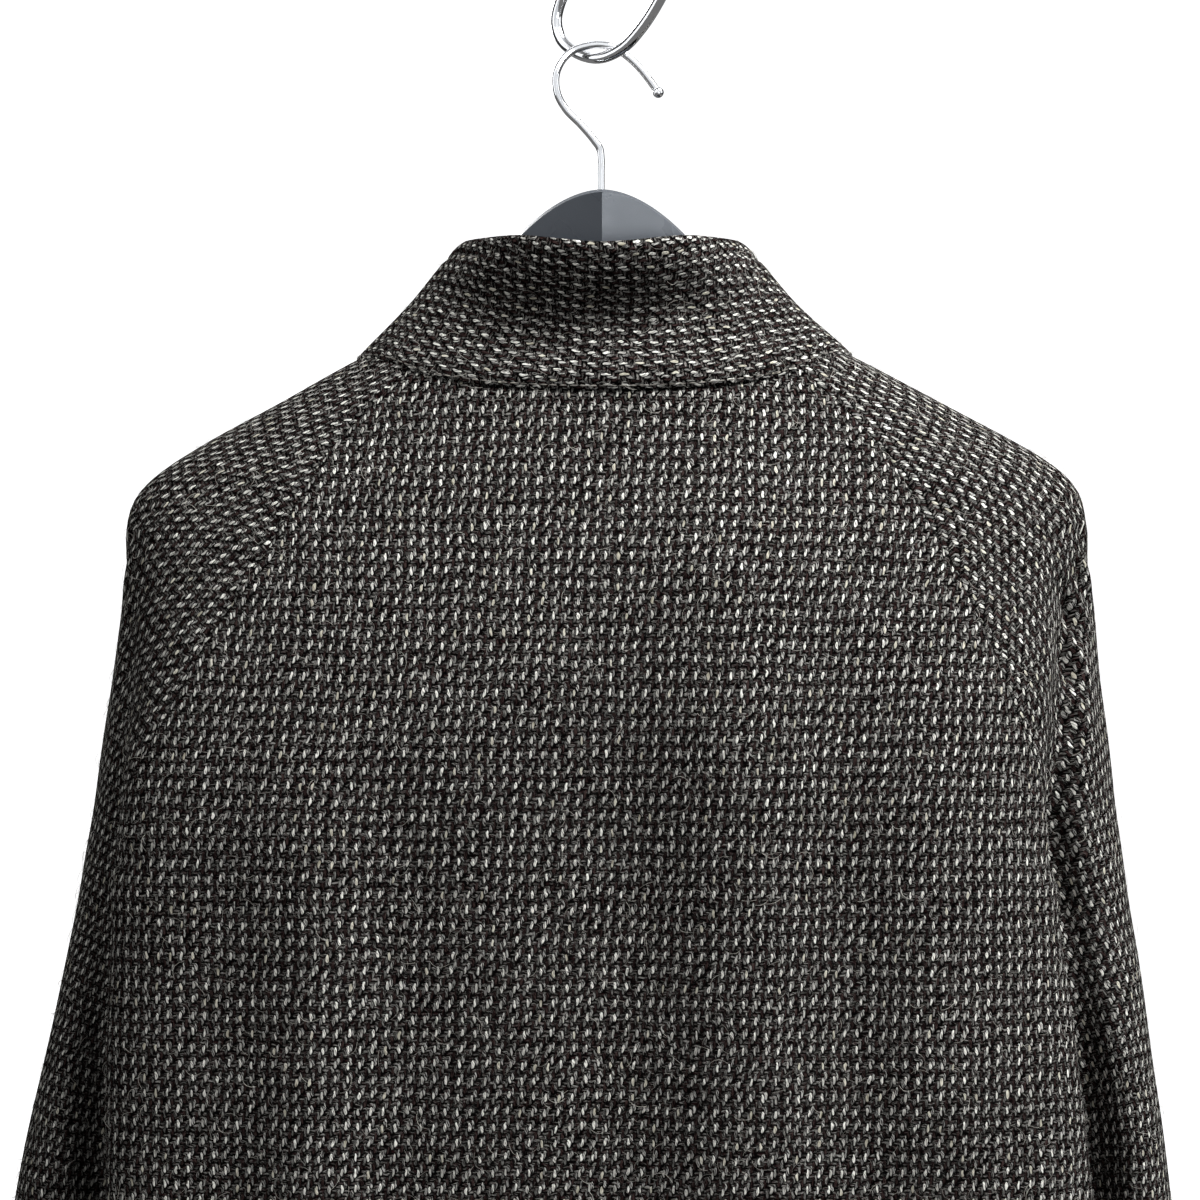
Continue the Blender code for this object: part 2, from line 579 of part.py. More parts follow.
def add_zip_slider():
    """The slider near the collar's top and its pull tab, in a frame that lies on the zip.

    In that frame +Z runs up the zip, -Y stands out from it, and the origin is the tab's hinge.
    """
    top, below = (line[-1] for line in middle_lines(1)[0:2])
    up = (top - below) / np.linalg.norm(top - below)
    outward = np.array((0, -up[2], up[1]))
    face = top - up * SLIDER_BELOW_TOP - outward * (CLOTH + TAPE_CLEARANCE)
    frame = bpy.data.objects.new("zip_frame", None)
    bpy.context.scene.collection.objects.link(frame)
    frame.location = (face + outward * HINGE_RISE - (0, 0, HANG_HEIGHT)) * MM
    frame.rotation_euler = (math.atan2(-up[1], up[2]), 0, 0)
    frame.location.x = 0
    slider, bridge, eye, pull, window = (add_zip_box(name) for name in ZIP_BOXES)
    slider.parent = frame
    pull.location = frame.location
    combine(slider, bridge, "UNION")
    combine(slider, eye, "DIFFERENCE")
    combine(pull, window, "DIFFERENCE")


def shoulder_height(x):
    """Height of the shoulder line's outer face at a distance from the middle."""
    drops = np.linspace(BODY["drop"][0], 60, 200)
    return -np.interp(x, read(BODY, "half_width", drops), drops)


def hanger_section(x):
    """The hanger's section across one arm, as points round it."""
    out = abs(x)
    top = shoulder_height(max(out, ARM_ROOT)) - ARM_UNDER_RIDGE
    if out < ARM_ROOT:
        top += ARM_ROOT_SLOPE * (ARM_ROOT - out) - ARM_ROOT_FALL
    if out < DOME_RADIUS:
        top = max(top, DOME_TOP - DOME_RADIUS + math.sqrt(DOME_RADIUS ** 2 - out ** 2))
    tip = ease(out, ARM_TIP - ARM_TIP_LENGTH, ARM_TIP)
    half = ARM_HALF_DEPTH[0] + (ARM_HALF_DEPTH[1] - ARM_HALF_DEPTH[0]) * ease(out, 60, 190)
    half *= 1 - 0.5 * tip
    ridge = DOME_RIDGE * max(1 - out / DOME_RADIUS, 0)
    middle_y = -ARM_SWEEP * out
    height = ARM_HEIGHT + DOME_SKIRT * (1 - ease(out, 20, 80)) - 4 * tip
    top -= 2 * tip
    edge, flank, bottom = top - 0.4 * ARM_SHOULDER, top - 1.6 * ARM_SHOULDER, top - height
    return [(x, middle_y, top),
            (x, middle_y + half * 0.7 + ridge, edge),
            (x, middle_y + half + ridge, flank),
            (x, middle_y + half + ridge * 0.5, bottom + 2),
            (x, middle_y, bottom),
            (x, middle_y - half, bottom + 2),
            (x, middle_y - half, flank),
            (x, middle_y - half * 0.7, edge)]


def add_hanger_body():
    stations = [-x for x in reversed(ARM_STATIONS)] + [0] + list(ARM_STATIONS)
    points = np.array([hanger_section(x) for x in stations])
    count = points.shape[1]
    faces = [tuple(range(count))]
    for s in range(len(stations) - 1):
        for k in range(count):
            a, b = s * count + k, s * count + (k + 1) % count
            faces.append((b, a, a + count, b + count))
    last = (len(stations) - 1) * count
    faces.append(tuple(last + k for k in reversed(range(count))))
    add_solid("hanger_body", points.reshape(-1, 3), faces, PLASTIC)


def add_wire(name, route, wire, count):
    """A bent wire through a route's points."""
    route = np.array(route, float)
    steps = np.append(0, np.cumsum(np.linalg.norm(np.diff(route, axis=0), axis=1)))
    wanted = np.linspace(0, steps[-1], count)
    path = [read({"drop": steps, "at": route[:, k]}, "at", wanted) for k in range(3)]
    curve = bpy.data.curves.new(name, "CURVE")
    curve.dimensions = "3D"
    curve.bevel_depth = wire / 2 * MM
    curve.bevel_resolution = 2
    curve.use_fill_caps = True
    spline = curve.splines.new("POLY")
    spline.points.add(count - 1)
    for point, place in zip(spline.points, np.stack(path, axis=-1)):
        point.co = (*((place - (0, 0, HANG_HEIGHT)) * MM), 1)
    add_object(name, curve, STEEL)


def add_hooks():
    route = [(x, 0, rise) for x, rise in zip(HOOK_ROUTE["x"], HOOK_ROUTE["rise"])]
    add_wire("hanger_hook", route, HOOK_WIRE, HOOK_POINTS)
    lower = [(across, S_BOTTOM + rise) for across, rise in zip(S_ROUTE["across"], S_ROUTE["rise"])]
    upper = [(2 * S_MIDDLE[0] - across, 2 * S_MIDDLE[1] - rise) for across, rise in reversed(lower)]
    turn = math.radians(S_PLANE_TURN)
    route = [(-across * math.cos(turn), across * math.sin(turn), rise)
             for across, rise in lower + [S_MIDDLE] + upper]
    add_wire("s_hook", route, S_WIRE, S_POINTS)


for old in list(bpy.data.objects):
    bpy.data.objects.remove(old)

add_back()
add_front("front_left", 1)
add_front("front_right", -1)
add_sleeve("sleeve_left", 1)
add_sleeve("sleeve_right", -1)
add_cuff("cuff_left", 1)
add_cuff("cuff_right", -1)
add_hem_band()
add_collar()
add_zip_tape("zip_tape_left", 1)
add_zip_tape("zip_tape_right", -1)
add_zip_slider()
add_hanger_body()
add_hooks()
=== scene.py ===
"""A raglan tweed blouson on a plastic hanger, seen from behind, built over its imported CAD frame.

Shapes are worked out in millimetres below the collar seam at the centre of the back, as in the CAD
source: +Y is the back, +X the wearer's left, and a drop is a distance down from that seam.
"""

import math

import bmesh
import bpy
import numpy as np
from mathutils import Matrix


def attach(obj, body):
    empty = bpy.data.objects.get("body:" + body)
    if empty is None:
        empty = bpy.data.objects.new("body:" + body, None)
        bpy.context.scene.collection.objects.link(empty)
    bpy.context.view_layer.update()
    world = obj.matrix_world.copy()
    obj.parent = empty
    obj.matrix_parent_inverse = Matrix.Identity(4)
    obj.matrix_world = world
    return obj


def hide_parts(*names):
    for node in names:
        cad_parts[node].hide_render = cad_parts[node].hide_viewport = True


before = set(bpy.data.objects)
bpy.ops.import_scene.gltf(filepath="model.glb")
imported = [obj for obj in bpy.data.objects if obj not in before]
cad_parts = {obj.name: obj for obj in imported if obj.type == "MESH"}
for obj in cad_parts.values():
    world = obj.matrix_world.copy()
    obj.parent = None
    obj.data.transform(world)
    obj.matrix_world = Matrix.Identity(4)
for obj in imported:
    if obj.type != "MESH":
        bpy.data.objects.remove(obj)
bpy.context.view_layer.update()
HANG_HEIGHT = 251.7     # the mount, at the origin, lies this far above the collar seam


# The back
# One panel of chunky tweed, 2 mm thick, from the collar seam down to the hem band.
# It is cut on the straight grain, sewn to the sleeves along two raglan seams, and hangs in soft folds.
CLOTH = 2.0
SEAM_GAP = 0.3
NECK_BACK_DROP = 2.0
UNDERARM_DROP = 228.0
UNDERARM_TURN = 1.22    # where the side seam lies round the body
BODY_DROP = 600.0
DENSE = 90              # points worked out along each row before it is divided
EDGE = np.array((0.0, 0.7, 1.8, 3.6))   # rows and columns that follow a sewn edge
SEAM_SINK = 0.7         # how far a sewn edge rolls inward
SEAM_ROLL = 3.4         # and over what width
YOKE_LEVELS = np.array((0, .07, .13, .18, .225, .26, .30, .36, .44, .53, .62, .71, .80, .88, .95, 1))
BODY_DROPS = np.array((255, 290, 330, 380, 430, 480, 535, 570, BODY_DROP))
BACK_COLUMNS = 48       # each side of the middle
ROW_SPACING = 4.6
RIM_WIDTH = 1.6         # the wall's rim is rounded over this width
RIM_THIN = 0.35         # and thins by this share
RIPPLES = 9             # waves that cross each other
RIPPLE_LENGTHS = (45, 120)
RIPPLES_START = (3, 30)     # distances from a seam between which the ripples set in


def table(columns, rows):
    """A short table as one array for each named column."""
    return {name: np.array(values, float) for name, values in zip(columns, zip(*rows))}


# The body's ring: half width, the y of its side fold, centre back and centre front, and how square
# its back and front quarters are.
BODY = table(
    ("drop", "half_width", "side_y", "back_y", "front_y", "back_power", "front_power"), (
        (-30, 84, -8, 34, -52, 2.0, 2.0),
        (-13, 113, -11, 41, -58, 2.0, 2.0),
        (16, 162, -16, 49.5, -66, 2.0, 2.1),
        (33, 190, -19, 54, -69, 2.0, 2.2),
        (46, 208, -20, 57, -70, 2.1, 2.2),
        (60, 218, -19, 60.5, -71, 2.1, 2.2),
        (80, 221, -12, 65.5, -72, 2.2, 2.1),
        (120, 219, 6, 73, -73, 2.3, 1.9),
        (180, 215, 24, 77, -74, 2.5, 1.65),
        (228, 217, 28, 76.5, -74, 2.5, 1.55),
        (290, 223, 28, 75, -75, 2.5, 1.55),
        (383, 229, 28, 73, -76, 2.5, 1.55),
        (480, 233, 26, 71.5, -77, 2.5, 1.6),
        (560, 226, 22, 68, -74, 2.4, 1.8),
        (600, 212, 18, 64, -68, 2.3, 1.9),
    ))
# The raglan seams, as the distance from the middle at several drops
RAGLAN_BACK = table(("drop", "x"), (
    (-8, 88), (30, 123), (63, 143), (96, 165), (125, 183), (157, 198), (180, 209)))
RAGLAN_FRONT = table(("drop", "x"), (
    (3, 92), (30, 116), (63, 134), (96, 147), (125, 157), (157, 168), (180, 178)))
# How the hanging garment differs from an even one: the share by which its body and its sleeves lie
# further out on each side
SETTLE = table(("drop", "left", "right", "left_sleeve", "right_sleeve"), (
    (-70, .0, .0, .0, .0),
    (-20, .010, .030, .010, .030),
    (40, .014, .038, .014, .038),
    (63, .014, .034, .014, .036),
    (82, .004, .016, .002, .030),
    (101, .0, -.004, -.002, .024),
    (139, .010, -.026, .002, .021),
    (176, .030, -.036, .006, .021),
    (214, .042, -.041, -.008, .004),
    (233, .042, -.036, -.014, -.006),
    (289, .030, -.025, -.013, -.014),
    (327, .020, -.015, -.011, -.026),
    (378, .009, -.003, -.010, -.039),
    (450, .0, .0, -.010, -.040),
    (660, .0, .0, -.010, -.040),
))
SHOULDER_LIFT = {"left": (4.0, 110.0, 100.0), "right": (7.3, 80.0, 130.0)}  # lift, from this x, over this
LIFT_FADE = (60, 260)   # drops between which the lift ends
LEAST_SLEEVE = 4.0      # width over which the body's settling turns into the sleeve's, at least
# The sleeve's outer edge, to which the settling reaches
SLEEVE_EDGE = table(("drop", "x"), (
    (40, 205), (73, 222), (101, 227), (148, 233), (190, 240), (228, 250), (290, 262), (383, 281), (480, 293),
    (560, 297), (592, 294), (650, 291)))
# The soft folds of the back: x, half width, height, upper and lower end
FOLD_FADE = 80.0
FOLDS = table(("x", "half_width", "height", "top", "bottom"), (
    (172, 22, -5.0, 130, 600),
    (133, 24, 7.0, 150, 600),
    (92, 24, -4.0, 150, 600),
    (-14, 30, -5.5, 130, 620),
    (-66, 40, 9.0, 10, 600),
    (-116, 22, -6.0, 90, 420),
    (-163, 34, 10.0, 90, 400),
))


def along(places, values, wanted):
    """Values on a smooth curve through those given at several places."""
    slopes = np.gradient(values, places, axis=0)
    x = np.clip(wanted, places[0], places[-1])
    i = np.clip(np.searchsorted(places, x, side="right") - 1, 0, len(places) - 2)
    fit = np.shape(x) + (1,) * (values.ndim - 1)
    span = (places[i + 1] - places[i]).reshape(fit)
    t = (x - places[i]).reshape(fit) / span
    rise = values[i] * (1 + 2 * t) * (1 - t) ** 2 + values[i + 1] * t * t * (3 - 2 * t)
    return rise + span * (slopes[i] * t * (1 - t) ** 2 - slopes[i + 1] * t * t * (1 - t))


def read(values, name, drop):
    """A column of a table at any drop."""
    return along(values["drop"], values[name], np.asarray(drop, float))


def ease(value, start, end):
    """0 before start, 1 after end and a soft step between."""
    t = np.clip((value - start) / (end - start), 0, 1)
    return t * t * (3 - 2 * t)


def fold_height(x, drop):
    """How far the soft folds of the back stand out at a place."""
    height = np.zeros(np.broadcast(x, drop).shape)
    for i in range(len(FOLDS["x"])):
        across = np.exp(-((x - FOLDS["x"][i]) / FOLDS["half_width"][i]) ** 2)
        top, bottom = FOLDS["top"][i], FOLDS["bottom"][i]
        down = ease(drop, top, top + FOLD_FADE) * (1 - ease(drop, bottom - FOLD_FADE, bottom))
        height += FOLDS["height"][i] * across * down
    return height


def body_quarter(behind, drop):
    """A quarter of the body's ring: the y of its side fold and of its middle, and how square it is."""
    end_y = np.where(behind, read(BODY, "back_y", drop), read(BODY, "front_y", drop))
    power = np.where(behind, read(BODY, "back_power", drop), read(BODY, "front_power", drop))
    return read(BODY, "side_y", drop), end_y, power


def body_point(turn, drop, side):
    """Outer face of the body: turn 0 is the centre back, 1 the side fold, 2 the centre front."""
    turn, drop = np.broadcast_arrays(turn, drop)
    angle = turn * math.pi / 2
    behind = turn <= 1
    side_y, end_y, power = body_quarter(behind, drop)
    x = side * read(BODY, "half_width", drop) * np.abs(np.sin(angle)) ** (2 / power)
    y = side_y + (end_y - side_y) * np.abs(np.cos(angle)) ** (2 / power)
    y = y + np.where(behind, np.cos(angle) ** 2, 0) * fold_height(x, drop)
    return np.stack((x, y, -drop), axis=-1)


def seam_turns(seam, power_name, front):
    """A raglan seam's turn round the body, worked out closely down to the underarm."""
    drop = np.linspace(seam["drop"][0], seam["drop"][-1], 24)
    share = read(seam, "x", drop) / read(BODY, "half_width", drop)
    turn = np.arcsin(share ** (read(BODY, power_name, drop) / 2)) * 2 / math.pi
    turn = 2 - turn if front else turn
    return {"drop": np.append(drop, UNDERARM_DROP), "turn": np.append(turn, UNDERARM_TURN)}


BACK_SEAM = seam_turns(RAGLAN_BACK, "back_power", front=False)
FRONT_SEAM = seam_turns(RAGLAN_FRONT, "front_power", front=True)


def seam_place(seam, level):
    """Drop and turn on a seam; level 0 is the neckline and 1 the underarm."""
    drop = seam["drop"][0] + (UNDERARM_DROP - seam["drop"][0]) * level
    return drop, read(seam, "turn", drop)


def back_line(level, side):
    """Half a row of the back, from its middle to the raglan seam."""
    drop, turn = seam_place(BACK_SEAM, level)
    middle_drop = NECK_BACK_DROP + (UNDERARM_DROP - NECK_BACK_DROP) * level
    share = np.linspace(0, 1, DENSE)
    return body_point(share * turn, middle_drop + (drop - middle_drop) * share ** 2, side)


def body_line(drop, side, turns):
    """A level row of the body between two turns."""
    return body_point(np.linspace(*turns, DENSE), np.full(DENSE, drop), side)


def lengths_along(line):
    """The length of a line up to each of its points."""
    return np.append(0, np.cumsum(np.linalg.norm(np.diff(line, axis=0), axis=1)))


def spread(line, columns, trim=(0.0, 0.0), edges=(True, True)):
    """Points along a trimmed line, close together near its sewn ends and even between them."""
    length = lengths_along(line)
    start, end = trim[0], length[-1] - trim[1]
    low = EDGE if edges[0] else EDGE[:1]
    high = EDGE if edges[1] else EDGE[:1]
    even = np.linspace(start + low[-1], end - high[-1], columns + 1)
    wanted = np.concatenate((start + low[:-1], even, (end - high[:-1])[::-1]))
    return np.stack([np.interp(wanted, length, line[:, k]) for k in range(3)], axis=-1)


def row_places(start, end, spacing=ROW_SPACING):
    """Places of close rows from one sewn end to the other, with more of them at the ends."""
    even = np.linspace(start + EDGE[-1], end - EDGE[-1], round((end - start) / spacing))
    return np.concatenate((start + EDGE[:-1], even, (end - EDGE[:-1])[::-1]))


def refine(places, rows):
    """Many close rows on a smooth surface through a few."""
    return along(np.asarray(places, float), np.asarray(rows), row_places(places[0], places[-1]))


def ordered(rows, side):
    """Rows that run the same way round the garment on both sides of it."""
    grid = np.array(rows)
    return grid if side > 0 else grid[:, ::-1]


def across_middle(rows_of):
    """The grid of a piece on both sides of the middle, from a function that gives one side's rows."""
    right, left = (ordered(rows_of(side), side) for side in (-1, 1))
    return np.concatenate((right, left[:, 1:]), axis=1)


def unit(vectors):
    """Vectors of the same directions and of length 1."""
    return vectors / np.maximum(np.linalg.norm(vectors, axis=-1, keepdims=True), 1e-12)


def grid_normals(grid, closed_from=None):
    """The outward direction at each point of a grid whose columns run round the garment."""
    quads = grid_quads(*grid.shape[:2])
    merged = merged_numbers(grid.shape[:2], closed_from)
    points = grid.reshape(-1, 3)
    turned = np.cross(points[quads[:, 2]] - points[quads[:, 0]], points[quads[:, 3]] - points[quads[:, 1]])
    normals = np.zeros(points.shape)
    for corner in range(4):
        np.add.at(normals, merged[quads[:, corner]], turned)
    return unit(normals[merged]).reshape(grid.shape)


def grid_quads(rows, columns):
    """The four corners' numbers of each face of a grid."""
    index = np.arange(rows * columns).reshape(rows, columns)
    return np.stack((index[:-1, :-1], index[:-1, 1:], index[1:, 1:], index[1:, :-1]), -1).reshape(-1, 4)


def merged_numbers(shape, closed_from):
    """A number for each point: from row closed_from on, the last column is the first one again."""
    index = np.arange(shape[0] * shape[1]).reshape(shape)
    if closed_from is not None:
        index[closed_from:, -1] = index[closed_from:, 0]
    return index.ravel()


def edge_distance(grid, closed_from=None):
    """How far each point lies from the piece's nearest sewn edge, along its rows and columns."""
    rounds = np.linalg.norm(np.diff(grid, axis=1), axis=2)
    downs = np.linalg.norm(np.diff(grid, axis=0), axis=2)
    from_left = np.pad(np.cumsum(rounds, axis=1), ((0, 0), (1, 0)))
    from_top = np.pad(np.cumsum(downs, axis=0), ((1, 0), (0, 0)))
    sides = np.minimum(from_left, from_left[:, -1:] - from_left)
    if closed_from is not None:
        sides[closed_from:] = sides.max()
        fade = np.clip((closed_from - np.arange(len(grid))) / 5, 0, 1)[:, None]
        sides = sides + (1 - fade) * SEAM_ROLL
    return sides, from_top, from_top[-1:] - from_top


def ripples(grid, seed):
    """The slight unevenness of hanging cloth: a few long waves that cross each other."""
    rng = np.random.default_rng(seed)
    total = np.zeros(grid.shape[:2])
    for _ in range(RIPPLES):
        direction = rng.normal(size=3) * (1, 0.5, 0.55)
        direction *= 2 * math.pi / (rng.uniform(*RIPPLE_LENGTHS) * np.linalg.norm(direction))
        total += np.sin(grid @ direction + rng.uniform(0, 2 * math.pi)) / RIPPLES
    return total


def linked(name, data):
    """A new object in the scene."""
    made = bpy.data.objects.new(name, data)
    bpy.context.scene.collection.objects.link(made)
    return made


UNWRAP_ROUNDS = 30
EASING_ROUNDS = 150
EASING_SHARE = 0.1
FLAT_LINKS = ((np.s_[:, :-1], np.s_[:, 1:]), (np.s_[:-1], np.s_[1:]), (np.s_[:-1, :-1], np.s_[1:, 1:]),
              (np.s_[:-1, 1:], np.s_[1:, :-1]))


def flatten(grid, grain_column, turn=0.0, step=3):
    """The piece's flat cut: for each point of the grid a place on the cloth in metres, and its area.

    A row and a column at each step are laid flat with little stretch, and the rest between them. Then
    all are eased towards the lengths that rows, columns and diagonals have on the piece.
    """
    picks = [np.unique(np.append(np.arange(0, size, step), size - 1)) for size in grid.shape[:2]]
    coarse = grid[np.ix_(*picks)]
    quads = grid_quads(*coarse.shape[:2])
    mesh = bpy.data.meshes.new("flat")
    mesh.from_pydata((coarse.reshape(-1, 3) * 0.001).tolist(), [], quads.tolist())
    sheet = linked("flat", mesh)
    bpy.context.view_layer.objects.active = sheet
    bpy.ops.object.mode_set(mode="EDIT")
    bpy.ops.mesh.select_all(action="SELECT")
    bpy.ops.uv.unwrap(method="MINIMUM_STRETCH", iterations=UNWRAP_ROUNDS, margin=0)
    bpy.ops.object.mode_set(mode="OBJECT")
    corners = np.zeros(len(mesh.loops) * 2)
    mesh.uv_layers.active.uv.foreach_get("vector", corners)
    flat = np.zeros((len(coarse.reshape(-1, 3)), 2))
    flat[quads.ravel()] = corners.reshape(-1, 2)
    true_area = sum(face.area for face in mesh.polygons)
    across, down = flat[quads[:, 2]] - flat[quads[:, 0]], flat[quads[:, 3]] - flat[quads[:, 1]]
    flat_area = np.abs(across[:, 0] * down[:, 1] - across[:, 1] * down[:, 0]).sum() / 2
    flat = flat.reshape(*coarse.shape[:2], 2) * math.sqrt(true_area / flat_area)
    for axis in (0, 1):
        every = np.arange(float(grid.shape[axis]))
        flat = np.moveaxis(along(picks[axis].astype(float), np.moveaxis(flat, axis, 0), every), 0, axis)
    for _ in range(EASING_ROUNDS):
        move = np.zeros(flat.shape)
        for first, second in FLAT_LINKS:
            way = flat[second] - flat[first]
            length = np.linalg.norm(grid[second] - grid[first], axis=-1) * 0.001
            short = 1 - length / np.maximum(np.linalg.norm(way, axis=-1), 1e-9)
            move[first] += EASING_SHARE * way * short[..., None]
            move[second] -= EASING_SHARE * way * short[..., None]
        flat = flat + move
    grain = flat[-1, grain_column] - flat[0, grain_column]
    angle = -math.pi / 2 - math.atan2(grain[1], grain[0]) + math.radians(turn)
    spin = np.array(((math.cos(angle), math.sin(angle)), (-math.sin(angle), math.cos(angle))))
    flat = flat @ spin
    bpy.data.objects.remove(sheet)
    bpy.data.meshes.remove(mesh)
    return flat - flat.reshape(-1, 2).min(axis=0), true_area


def settle(points):
    """The garment as it hangs: its right shoulder sits higher, and below it the sleeve swings in."""
    x, drop = points[:, 0], -points[:, 2]
    out = np.abs(x)
    body, sleeve = read(BODY, "half_width", drop), read(SLEEVE_EDGE, "x", drop)
    edge = np.maximum(sleeve, body + LEAST_SLEEVE)
    reach = np.clip((out - body) / (edge - body), 0, 1)
    moved = points.copy()
    for sign, side in ((1, "left"), (-1, "right")):
        here = x * sign > 0
        near, far = read(SETTLE, side, drop), read(SETTLE, side + "_sleeve", drop)
        out_by = np.where(out < body, out * near, body * near + reach * (edge * far - body * near))
        height, start, width = SHOULDER_LIFT[side]
        lift = height * np.maximum((out - start) / width, 0) * (1 - ease(drop, *LIFT_FADE))
        moved[here, 0] += sign * out_by[here]
        moved[here, 2] += lift[here]
    return moved


def placed(points):
    """Points in millimetres about the collar seam as they hang, in metres about the mount."""
    return ((settle(np.asarray(points, float)) - (0, 0, HANG_HEIGHT)) * 0.001).tolist()


def add_mesh(name, points, faces, material):
    """An object from points in millimetres about the collar seam."""
    mesh = bpy.data.meshes.new(name)
    mesh.from_pydata(placed(points), [], faces)
    mesh.materials.append(material)
    mesh.shade_smooth()
    return linked(name, mesh)


def add_cloth(name, outer, flat, material, thickness=CLOTH, closed_from=None):
    """A closed cloth wall inward from its outer grid, with rounded edges and its flat cut as UV map."""
    normals = grid_normals(outer, closed_from)
    sides, top, bottom = edge_distance(outer, closed_from)
    near = 1 - np.clip(np.minimum(np.minimum(sides, top), bottom) / RIM_WIDTH, 0, 1)
    inner = outer - normals * (thickness - RIM_THIN * thickness * near ** 2)[..., None]
    merged = merged_numbers(outer.shape[:2], closed_from)
    quads = grid_quads(*outer.shape[:2])
    joined = merged[quads]
    edges = {}
    for corner in range(4):
        for a, b, u, v in zip(joined[:, corner], joined[:, (corner + 1) % 4],
                              quads[:, corner], quads[:, (corner + 1) % 4]):
            edges[int(a), int(b)] = (int(u), int(v))
    count = len(merged)
    rims, rim_places = [], []
    for (a, b), (u, v) in edges.items():
        if (b, a) not in edges:
            rims.append((b, a, a + count, b + count))
            rim_places.append((v, u, u, v))
    faces = np.vstack((joined, joined[:, ::-1] + count, np.array(rims)))
    places = np.vstack((quads, quads[:, ::-1], np.array(rim_places)))
    used, renumbered = np.unique(faces, return_inverse=True)
    points = np.vstack((outer.reshape(-1, 3), inner.reshape(-1, 3)))[used]
    made = add_mesh(name, points, renumbered.reshape(-1, 4).tolist(), material)
    layer = made.data.uv_layers.new(name="Cloth")
    layer.uv.foreach_set("vector", flat.reshape(-1, 2)[places.ravel()].ravel())
    outer_faces = made.data.attributes.new("outer", "BOOLEAN", "FACE")
    outer_faces.data.foreach_set("value", np.arange(len(faces)) < len(quads))
    made.data.update()
    return made


def sewn(grid, seed, closed_from=None, wave=0.9):
    """A cloth surface with its sewn edges rolled in and slightly uneven between them."""
    sides, top, bottom = edge_distance(grid, closed_from)
    nearest = np.minimum(np.minimum(sides, top), bottom)
    rolled = SEAM_SINK * (1 - np.clip(nearest / SEAM_ROLL, 0, 1)) ** 2
    uneven = wave * ripples(grid, seed) * ease(nearest, *RIPPLES_START)
    return grid + grid_normals(grid, closed_from) * (uneven - rolled)[..., None]


def put(tree, kind, inputs=(), **settings):
    """A node with its settings made and each of its inputs set or joined."""
    node = tree.nodes.new(kind)
    for name, value in settings.items():
        setattr(node, name, value)
    for socket, value in (inputs.items() if isinstance(inputs, dict) else enumerate(inputs)):
        if isinstance(value, bpy.types.NodeSocket):
            tree.links.new(value, node.inputs[socket])
        else:
            node.inputs[socket].default_value = value
    return node


def calc(tree, operation, *values):
    """A sum, product or other result of values."""
    return put(tree, "ShaderNodeMath", values, operation=operation).outputs[0]


def blend(tree, share, first, second):
    """A mix of two colours."""
    return put(tree, "ShaderNodeMix", {0: share, 6: first, 7: second}, data_type="RGBA").outputs[2]


def between(tree, value, low, high, start=0.0, end=1.0):
    """A value that goes from start to end while another goes from low to high."""
    return put(tree, "ShaderNodeMapRange", {0: value, 1: low, 2: high, 3: start, 4: end}).outputs[0]


def cut_place(tree):
    """The place on a piece's flat cut, in millimetres."""
    cut = put(tree, "ShaderNodeUVMap", uv_map="Cloth").outputs[0]
    return put(tree, "ShaderNodeVectorMath", {0: cut, "Scale": 1000.0}, operation="SCALE").outputs[0]


def new_group(name, inputs, outputs):
    """An empty shader group with named value inputs and named outputs."""
    tree = bpy.data.node_groups.new(name, "ShaderNodeTree")
    for label, value in inputs:
        socket = tree.interface.new_socket(label, in_out="INPUT", socket_type="NodeSocketFloat")
        socket.default_value = value
    for label, kind in outputs:
        tree.interface.new_socket(label, in_out="OUTPUT", socket_type=kind)
    return tree, tree.nodes.new("NodeGroupInput").outputs, tree.nodes.new("NodeGroupOutput").inputs


TWILL_YARNS = 4.0       # a float comes again at every fourth yarn


